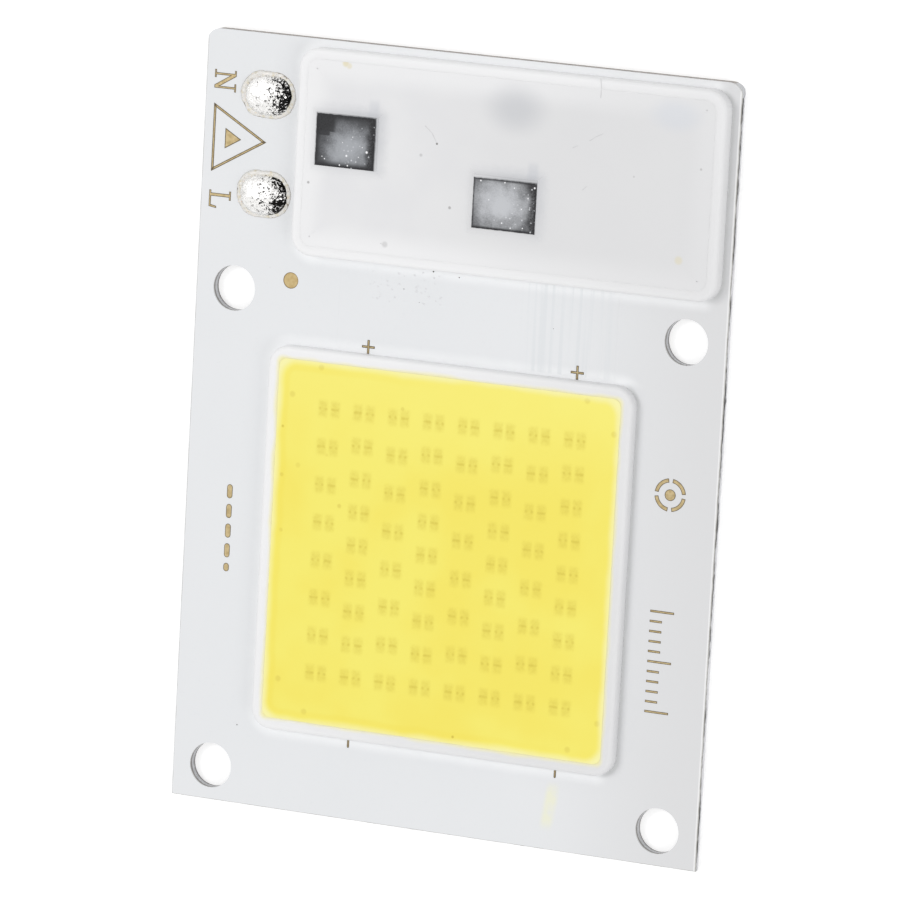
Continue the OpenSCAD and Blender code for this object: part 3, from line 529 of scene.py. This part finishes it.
def chip_epoxy(name, centre, haze_centre, haze_size, haze_colour, haze, rim_depth, specks, clear,
               corner=None):
    """Black moulded epoxy under a grey haze, partly a dusty film and partly a painted reflection of the
    light, in millimetres from the chip's centre.

    clear is the left, right, lower and upper edge of the part that silicone doesn't cover.
    corner, where there is one, is the inner corner of a patch that the haze leaves black.
    """
    f = Finish(name, rough=0.34, specular=0.28)
    x = f.x - centre.x / MM
    y = f.y - centre.y / MM
    grain = f.noise(0.10, detail=4.0, rough=0.7)
    patch = f.noise(0.8, detail=3.0, shift=2.0)
    black = f.paint(rgb(16, 16, 18), rgb(42, 42, 46), grain.ease(0.3, 0.75))
    left, right, bottom, top = clear
    # A grey haze over the black: partly a dusty film, partly a painted reflection of the light
    reach = length_of((x - haze_centre[0]) / haze_size[0], (y - haze_centre[1]) / haze_size[1])
    film_and_reflection = (reach + (patch - 0.5) * 0.7 + (grain - 0.5) * 0.6).ease(0.15, 1.2, haze, 0.10)
    inside = (x - left).least(right - x).least(y - bottom).least(top - y)
    clean_rim = (x - left + 0.06).least(right - x).least(y - bottom).least(top - y + 0.06)
    rim = (clean_rim + (grain - 0.5) * 0.2).ease(0.04, rim_depth)
    if corner is not None:
        across, down = corner
        block = x.ease(across - 0.10, across + 0.30, 1.0, 0.0) * y.ease(down - 0.05, down + 0.05)
        step = x.ease(across - 0.32, across - 0.28, 1.0, 0.0) * y.ease(down - 0.3, down - 0.24)
        film_and_reflection = film_and_reflection * (1.0 - block.most(step * 0.9) * 0.85)
    strip = (x + (patch - 0.5) * 0.8).ease(right - 0.75, right - 0.3) * grain.ease(0.38, 0.62, 0.95, 0.35)
    colour = f.paint(black, haze_colour, film_and_reflection * rim * (1.0 - strip))
    crowd = (x * 0.16 - y * 0.10 + (patch - 0.5) * 0.9).ease(-0.2, 0.35)
    scattered = f.noise(0.35, detail=2.0, shift=4.0).ease(0.42, 0.6)
    fleck = f.cells(0.3, shift=11.0).ease(0.10, 0.26, 1.0, 0.0) * scattered
    colour = f.paint(colour, rgb(226, 228, 232), fleck * crowd * 0.7)
    colour = f.paint(colour, rgb(250, 250, 252), spots(f, round_centre(centre, specks, 1.0)))
    # White silicone has crept over the edges of the top, and thins out towards the middle; painted shade
    # darkens it towards the upper right
    ragged = (f.noise(0.3, detail=3.0, shift=7.0) - 0.5) * 0.10
    shaded = (x + y).ease(-1.5, 3.0, 0.0, 1.0)
    crept = (inside + ragged).ease(-0.05, 0.02, 1.0, 0.0)
    under = f.paint(rgb(216, 216, 218), rgb(190, 191, 194), shaded)
    thinning = (inside + ragged).ease(-0.14, -0.02) * (shaded * 0.7 + 0.3)
    colour = f.paint(colour, f.paint(under, rgb(122, 123, 126), thinning), crept)
    f.colour(colour)
    f.bump(grain + fleck * 0.6, 0.008)
    return f.material


def solder(name, centre, marks):
    """Bright solder with pits, and a painted dark reflection in patches on its flank towards the driver."""
    f = Finish(name, rough=0.24, metal=0.9)
    x = f.x - centre.x / MM
    y = f.y - centre.y / MM
    pits = f.noise(0.22, detail=3.0, rough=0.6, shift=1.7)
    fine = f.noise(0.10, detail=2.0, shift=4.4)
    flank = (x + y * y * 0.10).ease(-1.3, 2.1)
    patchy = f.noise(0.7, detail=2.0, shift=2.2)
    # Painted dark reflection in patches, on the flank towards the driver
    reflection_patches = pits * 0.45 + fine * 0.35 + patchy * 0.2
    dark = (reflection_patches + (flank - 0.5) * 0.24).ease(0.535, 0.57)
    lone = f.noise(0.35, detail=3.0, shift=9.3).ease(0.62, 0.67) * x.ease(-1.7, -1.0)
    colour = f.paint(rgb(250, 249, 247), rgb(212, 211, 209), fine.ease(0.4, 0.75))
    colour = f.paint(colour, rgb(140, 138, 136), lone * 0.7)
    colour = f.paint(colour, rgb(14, 13, 13), dark * x.ease(-1.3, -0.3))
    colour = f.paint(colour, rgb(60, 58, 56), spots(f, round_centre(centre, marks, 0.8)))
    f.colour(colour)
    f.roughness(pits.ease(0.3, 0.7, 0.18, 0.34))
    f.bump(pits + fine * 0.4, 0.05)
    return f.material


def flux():
    """Clear flux that went cream where it is thick, with a thin brown edge at its foot."""
    f = Finish("flux_residue", rough=0.3, specular=0.5)
    f.set("Transmission Weight", 0.2)
    tone = f.noise(0.3, detail=3.0)
    colour = f.paint(rgb(252, 251, 247), rgb(242, 235, 212), tone.ease(0.45, 0.72))
    burnt = f.noise(0.14, detail=4.0, rough=0.65, shift=6.1).ease(0.58, 0.66, 0.0, 0.4)
    colour = f.paint(colour, rgb(150, 136, 116), burnt)
    foot = (f.z - front_z / MM + (tone - 0.5) * 0.03).ease(0.008, 0.022, 0.7, 0.0)
    f.colour(f.paint(colour, rgb(140, 122, 96), foot))
    f.bump(tone, 0.03)
    return f.material


gold = two_tone("bare_gold", rgb(196, 176, 132), rgb(174, 153, 108), 0.3, 0.08, 0.006,
                contrast=(0.35, 0.7), rough=0.4, metal=0.3, specular=0.4)
# Dark brown rim round the legend marks: painted shade at their edges
rim_shade = two_tone("legend_rim_shade", rgb(112, 98, 72), rgb(82, 71, 52), 0.12, 0.06, 0.004,
                     rough=0.5, specular=0.3)
copper = two_tone("copper_foil", rgb(200, 130, 90), rgb(170, 100, 66), 0.6, 0.05, 0.004,
                  rough=0.35, metal=1.0)
dielectric = two_tone("dielectric", rgb(204, 203, 200), rgb(158, 156, 151), 0.9, 0.06, 0.01,
                      contrast=(0.35, 0.65), rough=0.6)
epoxy = two_tone("plain_epoxy", rgb(26, 26, 28), rgb(42, 42, 45), 0.1, 0.06, 0.005, detail=4.0, rough=0.4)
tin = two_tone("tinned_lead", rgb(205, 205, 203), rgb(178, 178, 178), 0.3, 0.06, 0.004,
               rough=0.28, metal=1.0)
ceramic = two_tone("resistor_ceramic", rgb(222, 220, 212), rgb(206, 203, 194), 0.3, 0.05, 0.003, rough=0.5)
sapphire = two_tone("led_die", rgb(190, 206, 222), rgb(150, 172, 200), 0.4, 0.3, 0.002,
                    rough=0.12, ior=1.77)


def lint(name, dark, light):
    return two_tone(name, dark, light, 0.05, 0.03, 0.004, rough=0.7, specular=0.2)


def dress(names, material):
    for name in names:
        mesh = nodes[name].data
        mesh.materials.clear()
        mesh.materials.append(material)


dress(["solder_mask"], white_mask())
dress([n for n in nodes if n.startswith("copper_")], copper)
dress(["copper_fiducial"], fiducial_gold())
dress(["copper_alignment_dots"], gold)
dress(["dielectric_layer"], dielectric)
dress(["led_dam"], white_silicone("led_dam_silicone", (fill_low, fill_high)))
dress(["driver_dam"], white_silicone("driver_dam_silicone"))
dress(["phosphor_fill"], phosphor())
potting = potting_silicone()
dress(["driver_potting"], potting)
dress(["driver_ic_1_body"], chip_epoxy(
    "chip_epoxy_1", ic_1_mid, haze_centre=(0.2, -0.55), haze_size=(2.2, 1.95),
    haze_colour=rgb(172, 175, 180), haze=0.9, rim_depth=0.5,
    specks=[(0.09, -0.99, 0.10), (1.6, -0.6, 0.12), (-1.55, -1.35, 0.06), (-0.4, -1.68, 0.07),
            (0.2, -1.66, 0.07), (1.25, -0.3, 0.05), (-1.75, -1.2, 0.05), (0.5, 0.35, 0.05),
            (-0.25, -0.1, 0.04), (1.0, -1.0, 0.05)],
    clear=(-2.27, 2.16, -1.86, 1.77), corner=(-0.95, 0.55)))
dress(["driver_ic_2_body"], chip_epoxy(
    "chip_epoxy_2", ic_2_mid, haze_centre=(-0.25, -0.05), haze_size=(2.9, 2.2),
    haze_colour=rgb(198, 200, 204), haze=0.95, rim_depth=0.22,
    specks=[(-1.81, 1.46, 0.08), (-0.02, 1.5, 0.07), (2.2, 1.35, 0.09), (-0.1, -1.3, 0.07),
            (1.45, -1.5, 0.06), (0.55, -1.6, 0.06), (1.3, -0.2, 0.06), (-1.15, 0.2, 0.05),
            (0.7, 1.2, 0.06), (1.75, 0.6, 0.06)],
    clear=(-2.33, 2.34, -1.82, 1.63)))
dress(["bridge_rectifier_body"], epoxy)
dress([n for n in nodes if n.endswith(("_leads", "_slug", "_ends"))], tin)
dress([n for n in nodes if "resistor" in n and n.endswith("_body")], ceramic)
dress([n for n in nodes if n.startswith("led_column")], sapphire)
dress([n for n in nodes if n.startswith("bond_wires")], gold)


# ---- Pieces ----

def close_piece(bm, name, materials, smooth=False, stands_for=()):
    """Makes the finished shape an object that rides on the board."""
    bmesh.ops.recalc_face_normals(bm, faces=bm.faces)
    mesh = bpy.data.meshes.new(name)
    bm.to_mesh(mesh)
    bm.free()
    for material in materials:
        mesh.materials.append(material)
    if smooth:
        for face in mesh.polygons:
            face.use_smooth = True
    piece = bpy.data.objects.new(name, mesh)
    bpy.context.scene.collection.objects.link(piece)
    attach(piece, "root")
    if stands_for:
        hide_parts(*stands_for)
    return piece


def sweep_loop(bm, middle, straight, radius, section, turn_steps, run_steps=1):
    """Sweeps a closed section round a rectangle with round corners.

    The section's points are given as how far out from the path they lie, and how far up.
    """
    half = Vector((straight.x / 2, straight.y / 2, 0))
    start = middle + Vector((half.x, -half.y - radius, 0))
    ring = [bm.verts.new((start.x, start.y - out, up)) for out, up in section]
    edges = [bm.edges.new((ring[i - 1], ring[i])) for i in range(len(ring))]
    for corner, run, length in (((1, -1), (0, 1), straight.y), ((1, 1), (-1, 0), straight.x),
                                ((-1, 1), (0, -1), straight.y), ((-1, -1), (1, 0), straight.x)):
        centre = (middle.x + corner[0] * half.x, middle.y + corner[1] * half.y, 0)
        spun = bmesh.ops.spin(bm, geom=edges, cent=centre, axis=(0, 0, 1), angle=math.pi / 2,
                              steps=turn_steps, dvec=(0, 0, 0))
        edges = [g for g in spun["geom_last"] if isinstance(g, bmesh.types.BMEdge)]
        for _ in range(run_steps if length > 1e-6 else 0):
            drawn = bmesh.ops.extrude_edge_only(bm, edges=edges)["geom"]
            edges = [g for g in drawn if isinstance(g, bmesh.types.BMEdge) and g.is_boundary]
            step = length / run_steps
            bmesh.ops.translate(bm, vec=(run[0] * step, run[1] * step, 0),
                                verts=[g for g in drawn if isinstance(g, bmesh.types.BMVert)])
    bmesh.ops.remove_doubles(bm, verts=bm.verts, dist=1e-7)


def raise_outline(bm, outline, height, rim):
    """A flat shape in millimetres, raised off the mask, with a narrow rim round its top."""
    verts = [bm.verts.new((x * MM, y * MM, front_z)) for x, y in outline]
    face = bm.faces.new(verts)
    face.normal_update()
    if face.normal.z < 0:
        face.normal_flip()
    raised = bmesh.ops.extrude_face_region(bm, geom=[face])["geom"]
    tops = [g for g in raised if isinstance(g, bmesh.types.BMFace)]
    corners = [g for g in raised if isinstance(g, bmesh.types.BMVert)]
    bmesh.ops.translate(bm, verts=corners, vec=(0, 0, height * MM))
    bmesh.ops.inset_region(bm, faces=tops, thickness=rim * MM, use_even_offset=True)
    for top in tops:
        top.material_index = 1


def legend(name, outlines, height=0.012, rim=0.044):
    bm = bmesh.new()
    for outline in outlines:
        raise_outline(bm, outline, height, rim)
    return close_piece(bm, name, [rim_shade, gold])


def turned(outline, x, y):
    """An upright letter's outline, laid so that its top is towards the terminals."""
    return [(x + v, y - u) for u, v in outline]


def ring_outline(x, y, outer, inner, start, end, steps=28):
    """Part of a ring between two angles, in degrees."""
    turn = [math.radians(start + (end - start) * i / steps) for i in range(steps + 1)]
    return ([(x + outer * math.cos(a), y + outer * math.sin(a)) for a in turn]
            + [(x + inner * math.cos(a), y + inner * math.sin(a)) for a in reversed(turn)])


def bar(x, y, w, h):
    """An upright rectangle round its centre."""
    return [(x - w / 2, y - h / 2), (x + w / 2, y - h / 2), (x + w / 2, y + h / 2), (x - w / 2, y + h / 2)]


def round_bar(x, y, w, h, steps=7):
    """A bar along Y with half-round ends."""
    r = w / 2
    middle = h / 2 - r
    turn = [math.pi * i / steps for i in range(steps + 1)]
    low = [(x - r * math.cos(a), y - middle - r * math.sin(a)) for a in turn]
    high = [(x + r * math.cos(a), y + middle + r * math.sin(a)) for a in turn]
    return low + high


def cross(x, y, size, width):
    """A plus sign round its centre."""
    h, w = size / 2, width / 2
    return [(x - w, y - h), (x + w, y - h), (x + w, y - w), (x + h, y - w), (x + h, y + w), (x + w, y + w),
            (x + w, y + h), (x - w, y + h), (x - w, y + w), (x - h, y + w), (x - h, y - w), (x - w, y - w)]


# The generic letters of the two terminals, each from its lower left corner
LETTER_N = [
    (0.0, 0), (0.57, 0), (0.57, 0.13), (0.375, 0.13), (0.375, 1.17), (1.09, 0), (1.305, 0), (1.305, 1.53),
    (1.5, 1.53), (1.5, 1.66), (0.93, 1.66), (0.93, 1.53), (1.15, 1.53), (1.15, 0.42), (0.395, 1.66),
    (0.0, 1.66), (0.0, 1.53), (0.215, 1.53), (0.215, 0.13), (0.0, 0.13)]
LETTER_L = [
    (0.0, 0), (1.17, 0), (1.26, 0.58), (1.11, 0.58), (1.02, 0.15), (0.43, 0.15), (0.43, 1.53), (0.64, 1.53),
    (0.64, 1.67), (0.0, 1.67), (0.0, 1.53), (0.2, 1.53), (0.2, 0.15), (0.0, 0.15)]
letter_x = plate_low.x / MM + 0.73
legend("legend_neutral", [turned(LETTER_N, letter_x, neutral_mid.y / MM + 1.4)])
legend("legend_line", [turned(LETTER_L, letter_x, line_mid.y / MM - 0.1)])


def pointer(name, corners, width):
    """An outlined triangle, in three strips that meet at its corners, round a small solid one."""
    middle = [sum(c[i] for c in corners) / 3 for i in (0, 1)]
    outer = [Vector(corner) for corner in corners]
    inner = []
    for i, here in enumerate(outer):
        back = (outer[i - 1] - here).normalized()
        ahead = (outer[(i + 1) % 3] - here).normalized()
        inner.append(here + (back + ahead).normalized() * width / math.sin(back.angle(ahead) / 2))
    strips = [[outer[i - 1], outer[i], inner[i], inner[i - 1]] for i in (1, 2, 0)]
    small = [(middle[0] + (x - middle[0]) * 0.3, middle[1] + (y - middle[1]) * 0.3) for x, y in corners]
    legend(name, strips + [small], rim=0.056)


point_y = (neutral_mid.y + line_mid.y) / 2 / MM + 0.125
tail_x = plate_low.x / MM + 0.78
point_x = neutral_mid.x / MM
pointer("pointer_mark", [(tail_x, point_y - 2.4), (point_x, point_y), (tail_x, point_y + 2.4)], 0.18)

plus_y = field_high.y / MM + 0.48
minus_y = field_low.y / MM - 0.35
legend("plus_marks", [cross(-6.55, plus_y, 0.97, 0.17), cross(9.15, plus_y, 0.97, 0.17)], rim=0.055)
legend("minus_marks", [round_bar(-6.5, minus_y, 0.16, 0.68), round_bar(9.2, minus_y, 0.16, 0.68)], rim=0.058)

# Plain test marks where a panel has room for them
bar_x = plate_low.x / MM + 3.45
target = (plate_high.x / MM - 3.5, -1.35)
tick_x = plate_high.x / MM - 4.45
legend("test_bars", [round_bar(bar_x, y, 0.42, h) for y, h in
                     ((-5.1, 1.0), (-6.5, 1.0), (-7.9, 1.0), (-9.3, 1.0), (-10.5, 0.6))], rim=0.04)
quarters = [ring_outline(*target, 1.15, 0.87, start + 8, start + 82) for start in (0, 90, 180, 270)]
legend("target_mark", quarters + [round_bar(*target, 0.8, 0.8, 15)], rim=0.045)
ticks = [(-9.5 - 0.7 * i, 1.75 if i % 5 == 0 else 0.9) for i in range(11)]
legend("gauge_ticks", [bar(tick_x + run / 2, y, run, 0.16) for y, run in ticks])


# Lumps on the solder: how many to a millimetre, and how deep in millimetres
LUMPS = ((1.6, 0.05), (5.0, 0.03), (11.0, 0.016))
# How much of its node's length and width the dome takes, so that the flux has room round it
DOME_SHARE = (0.91, 0.97)
DOME_SHIFT = (0.03 * MM, -0.02 * MM)


def solder_joint(name, node, marks):
    """A lumpy dome of solder on a terminal."""
    low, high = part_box(node)
    mid = (low + high) / 2
    half = (high - low) / 2
    bm = bmesh.new()
    bmesh.ops.create_icosphere(bm, subdivisions=6, radius=1.0)
    bmesh.ops.bisect_plane(bm, geom=bm.verts[:] + bm.edges[:] + bm.faces[:], plane_co=(0, 0, 0),
                           plane_no=(0, 0, -1), clear_outer=True)
    rim = [e for e in bm.edges if e.is_boundary]
    bmesh.ops.holes_fill(bm, edges=rim)
    for vert in bm.verts:
        n = vert.co.copy()
        flatten = 1 - 0.07 * max(0.0, n.y) ** 6
        wide = abs(n.x) ** 0.86 * (1 if n.x > 0 else -1)
        z = max(n.z, 0.0) ** 0.9
        place = Vector((mid.x + wide * half.x, mid.y + n.y * half.y * flatten, low.z + z * half.z * 2))
        if n.z > 0.01:
            pit = sum(noise.noise(place / MM * often) * deep for often, deep in LUMPS)
            inward = Vector((n.x, n.y, n.z * 0.9)) * MM
            place -= inward * (0.07 + pit) * min(1.0, n.z * 4)
        for axis in (0, 1):
            place[axis] = mid[axis] + DOME_SHIFT[axis] + (place[axis] - mid[axis]) * DOME_SHARE[axis]
        vert.co = place
    close_piece(bm, name, [solder(name + "_metal", mid, marks)], smooth=True, stands_for=[node])


solder_joint("solder_neutral", "solder_joint_neutral",
             [(0.15, -0.35, 0.14), (-0.65, 0.85, 0.08), (-0.6, -0.75, 0.07), (-0.1, 0.1, 0.07)])
solder_joint("solder_line", "solder_joint_line",
             [(0.0, 0.75, 0.14), (-0.02, 0.5, 0.08), (-0.5, -0.25, 0.08), (0.1, 0.25, 0.07),
              (0.7, 0.5, 0.07)])


def flux_collar(name, node, seed):
    """A thin uneven bead of flux round the foot of a solder joint."""
    low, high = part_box(node)
    mid = (low + high) / 2
    radius = (high.y - low.y) / 2 - 0.11 * MM
    flat = (high.x - low.x) - (high.y - low.y)
    turn = [math.pi * k / 4 for k in range(8)]
    section = [((0.25 * math.cos(a) - 0.05) * MM, front_z + 0.11 * math.sin(a) * MM) for a in turn]
    bm = bmesh.new()
    sweep_loop(bm, mid, Vector((flat, 0, 0)), radius, section, 36, 8)
    for vert in bm.verts:
        where = vert.co / MM
        swell = noise.noise(Vector((where.x * 1.4, where.y * 1.4, seed)))
        fine = noise.noise(Vector((where.x * 5, where.y * 5, seed)))
        out = Vector((where.x - mid.x / MM, where.y - mid.y / MM, 0)).normalized()
        vert.co += out * (swell * 0.06 + fine * 0.04) * MM
        if vert.co.z > front_z:
            vert.co.z = front_z + (vert.co.z - front_z) * (0.9 + swell + fine * 0.8)
    close_piece(bm, name, [flux_finish], smooth=True)


flux_finish = flux()
flux_collar("flux_collar_neutral", "solder_joint_neutral", 1.3)
flux_collar("flux_collar_line", "solder_joint_line", 6.1)


def snapped_plate():
    """The base plate with its snapped webs drawn in a little, to make room for their torn faces."""
    source = nodes["base_plate"]
    bm = bmesh.new()
    bm.from_mesh(source.data)
    bmesh.ops.remove_doubles(bm, verts=bm.verts, dist=1e-7)
    for vert in bm.verts:
        for axis, edge in ((0, plate_high.x), (0, plate_low.x), (1, plate_low.y)):
            at_edge = abs(vert.co[axis] - edge) < 0.01 * MM
            if at_edge and WEB_POINTS[0] < vert.co.z < WEB_POINTS[1]:
                vert.co[axis] -= math.copysign(TEAR, edge)
    close_piece(bm, "snapped_plate", [aluminium()], stands_for=["base_plate"])


def torn_web(name, axis, edge, start, end, seed):
    """The torn face of a snapped web, between the front score and the back one."""
    low_z, high_z = WEB_FACE
    along = int((end - start) / (0.08 * MM))
    bm = bmesh.new()
    bmesh.ops.create_grid(bm, x_segments=along, y_segments=5, size=0.5)
    front = bm.faces[:]
    raised = bmesh.ops.extrude_face_region(bm, geom=front)
    back = {g for g in raised["geom"] if isinstance(g, bmesh.types.BMVert)}
    side = math.copysign(1.0, edge)
    for vert in bm.verts:
        run = start + (vert.co.x + 0.5) * (end - start)
        rise = low_z + (vert.co.y + 0.5) * (high_z - low_z)
        where = Vector((run / MM, rise / MM * 2, seed))
        rough = 0.5 + 0.5 * noise.noise(where * 2.6) + 0.35 * noise.noise(where * 7.0)
        depth = TEAR * (1.4 if vert in back else 1 - min(1.0, max(0.0, rough)))
        place = [0.0, 0.0, rise]
        place[axis] = edge - side * depth
        place[1 - axis] = run
        vert.co = place
    close_piece(bm, name, [torn])


torn = snapped_metal()
snapped_plate()
side_start = plate_low.y + 0.05 * MM
side_end = plate_high.y - 1.0 * MM
torn_web("torn_web_right", 0, plate_high.x, side_start, side_end, 2.0)
torn_web("torn_web_left", 0, plate_low.x, side_start, side_end, 7.0)
torn_web("torn_web_end", 1, plate_low.y, plate_low.x + 0.05 * MM, plate_high.x - 0.05 * MM, 11.0)


def lint_specks(name, places, material):
    """Specks of dust on the mask, each given as x, y and radius in millimetres."""
    bm = bmesh.new()
    for x, y, r in places:
        made = bmesh.ops.create_icosphere(bm, subdivisions=1, radius=r * MM)
        bmesh.ops.scale(bm, vec=(1.0, 0.8, 0.5), verts=made["verts"])
        bmesh.ops.translate(bm, vec=(x * MM, y * MM, front_z + 0.2 * r * MM), verts=made["verts"])
    close_piece(bm, name, [material])


def potting_meniscus():
    """Silicone that wets the driver's dam and rises to its crown in a hollow curve."""
    bead = 1.0 * MM
    corner = 0.95 * MM
    crown = driver_high.z
    size = driver_high - driver_low
    near_crown = [(-0.20, crown - 0.004 * MM), (-0.32, crown - 0.0085 * MM), (-0.42, crown - 0.016 * MM)]
    hollow = [(-0.58, potting_top + 0.032 * MM), (-0.80, potting_top + 0.014 * MM),
              (-1.05, potting_top + 0.004 * MM), (-1.35, potting_top + 0.0005 * MM)]
    sunk = [(-1.35, potting_top - 0.08 * MM), (-0.20, potting_top - 0.08 * MM)]
    section = [(out * MM, up) for out, up in near_crown + hollow + sunk]
    straight = Vector((size.x - bead - 2 * corner, size.y - bead - 2 * corner, 0))
    bm = bmesh.new()
    sweep_loop(bm, driver_mid, straight, corner, section, 16)
    piece = close_piece(bm, "potting_meniscus", [potting], smooth=True)
    piece.data.set_sharp_from_angle(angle=math.radians(40))


potting_meniscus()
rng = random.Random(7)


def sprinkled(count, across, along, radius):
    """Places for specks; each range is its lowest and highest value in millimetres."""
    return [(rng.uniform(*across), rng.uniform(*along), rng.uniform(*radius)) for _ in range(count)]


dusty = sprinkled(40, (-6.8, -0.5), (9.6, 11.9), (0.04, 0.09))
dusty += sprinkled(16, (-19, 19), (6.5, 11.8), (0.02, 0.045))
dusty += sprinkled(12, (14.5, 19), (-26, 5), (0.02, 0.04))
dusty += sprinkled(12, (-19, -14.5), (-26, 5), (0.02, 0.04))
lint_specks("pale_lint", dusty, lint("pale_lint", rgb(205, 206, 208), rgb(246, 246, 247)))
lint_specks("dark_lint", [
    (-1.95, 12.05, 0.07), (1.5, 12.15, 0.05), (0.0, 11.85, 0.05), (-4.1, 10.6, 0.04),
    (-15.1, -21.6, 0.05), (0.85, -21.4, 0.05), (-2.9, 9.8, 0.03), (7.2, 9.1, 0.03)],
    lint("dark_lint", rgb(60, 58, 55), rgb(110, 108, 104)))


def threads(name, lines):
    """Fine threads on the potting, along short lines from a thick end to a thin one, in millimetres."""
    bm = bmesh.new()
    for start, end in lines:
        start, end = Vector(start).to_3d() * MM, Vector(end).to_3d() * MM
        run = end - start
        made = bmesh.ops.create_cone(bm, cap_ends=True, segments=6, radius1=0.022 * MM, radius2=0.012 * MM,
                                     depth=run.length)
        turn = run.to_track_quat("Z", "Y").to_matrix()
        bmesh.ops.rotate(bm, verts=made["verts"], cent=(0, 0, 0), matrix=turn)
        bmesh.ops.translate(bm, verts=made["verts"], vec=(start + end) / 2 + Vector((0, 0, potting_top)))
    pale = lint("thread_" + name, rgb(196, 196, 197), rgb(218, 218, 219))
    close_piece(bm, name, [pale])


threads("potting_threads", [
    ((-2.7, 22.2), (-2.15, 21.75)), ((-2.15, 21.75), (-1.8, 21.15)),
    ((10.15, 25.4, 0.02), (10.2, 26.1, 0.075)), ((10.2, 26.1, 0.075), (10.1, 26.75, 0.07)),
    ((9.5, 22.4), (10.0, 22.75)), ((10.0, 22.75), (10.5, 23.0)), ((8.3, 21.8), (8.7, 22.0)),
    ((-5.6, 13.75), (-5.1, 13.6)), ((9.2, 19.0), (9.5, 19.3))])


# ---- Stage ----

def seen_by_camera(tree):
    """1 for rays from the camera and for those that metal and glass pass on."""
    path = tree.nodes.new("ShaderNodeLightPath")
    seen = path.outputs["Is Camera Ray"]
    for ray in ("Is Glossy Ray", "Is Transmission Ray"):
        either = tree.nodes.new("ShaderNodeMath")
        either.operation = "MAXIMUM"
        tree.links.new(seen, either.inputs[0])
        tree.links.new(path.outputs[ray], either.inputs[1])
        seen = either.outputs[0]
    return seen


def make_floor():
    """A pale floor that keeps the part's shadow and looks white from the camera."""
    bm = bmesh.new()
    bmesh.ops.create_grid(bm, x_segments=1, y_segments=1, size=3.0)
    mesh = bpy.data.meshes.new("floor")
    bm.to_mesh(mesh)
    bm.free()
    floor = bpy.data.objects.new("floor", mesh)
    floor.location.z = plate_low.z - 0.02 * MM
    bpy.context.scene.collection.objects.link(floor)
    material = bpy.data.materials.new("pale_floor")
    material.use_nodes = True
    tree = material.node_tree
    shader = tree.nodes["Principled BSDF"]
    shader.inputs["Base Color"].default_value = FLOOR_COLOUR
    shader.inputs["Roughness"].default_value = 0.9
    shader.inputs["Specular IOR Level"].default_value = 0.0
    glow = tree.nodes.new("ShaderNodeEmission")
    add = tree.nodes.new("ShaderNodeAddShader")
    seen = seen_by_camera(tree)
    strength = tree.nodes.new("ShaderNodeMath")
    strength.operation = "MULTIPLY"
    strength.inputs[1].default_value = FLOOR_GLOW
    tree.links.new(seen, strength.inputs[0])
    tree.links.new(strength.outputs[0], glow.inputs["Strength"])
    tree.links.new(shader.outputs[0], add.inputs[0])
    tree.links.new(glow.outputs[0], add.inputs[1])
    tree.links.new(add.outputs[0], tree.nodes["Material Output"].inputs["Surface"])
    mesh.materials.append(material)


def make_world():
    """Even light on the part, and plain white where the camera, metal or glass sees the world."""
    world = bpy.data.worlds.new("studio")
    bpy.context.scene.world = world
    world.use_nodes = True
    tree = world.node_tree
    background = tree.nodes["Background"]
    background.inputs["Color"].default_value = (1, 1, 1, 1)
    level = tree.nodes.new("ShaderNodeMapRange")
    level.inputs["To Min"].default_value = WORLD_LEVEL
    level.inputs["To Max"].default_value = 1.0
    tree.links.new(seen_by_camera(tree), level.inputs["Value"])
    tree.links.new(level.outputs["Result"], background.inputs["Strength"])


def soft_box(name, place, size, power):
    """A square lamp that points at the middle of the part."""
    lamp = bpy.data.lights.new(name, "AREA")
    lamp.shape = "SQUARE"
    lamp.size = size
    lamp.energy = power
    holder = bpy.data.objects.new(name, lamp)
    holder.location = place
    holder.rotation_euler = (-Vector(place)).to_track_quat("-Z", "Y").to_euler()
    bpy.context.scene.collection.objects.link(holder)


def make_camera():
    """A long lens that looks down on the board from its right and its driver end."""
    right = Vector((0.91366, 0.05401, -0.40287))
    up = Vector((-0.11750, 0.98391, -0.13457))
    back = Vector((0.38912, 0.17029, 0.90531))
    place = Vector((202.69, 88.51, 471.55)) * MM + Vector((0, 0, front_z))
    data = bpy.data.cameras.new("camera")
    data.sensor_width = 36
    data.lens = 302.11
    data.clip_start = 0.05
    data.clip_end = 20
    camera = bpy.data.objects.new("camera", data)
    turn = Matrix((right, up, back)).transposed().to_4x4()
    camera.matrix_world = Matrix.Translation(place) @ turn
    bpy.context.scene.collection.objects.link(camera)
    bpy.context.scene.camera = camera


make_floor()
make_world()
soft_box("key", (-0.50, 0.22, 0.85), 0.35, 2.1)
soft_box("fill", (0.62, -0.22, 0.5), 0.5, 1.4)
make_camera()
bpy.context.scene.view_settings.view_transform = "Standard"
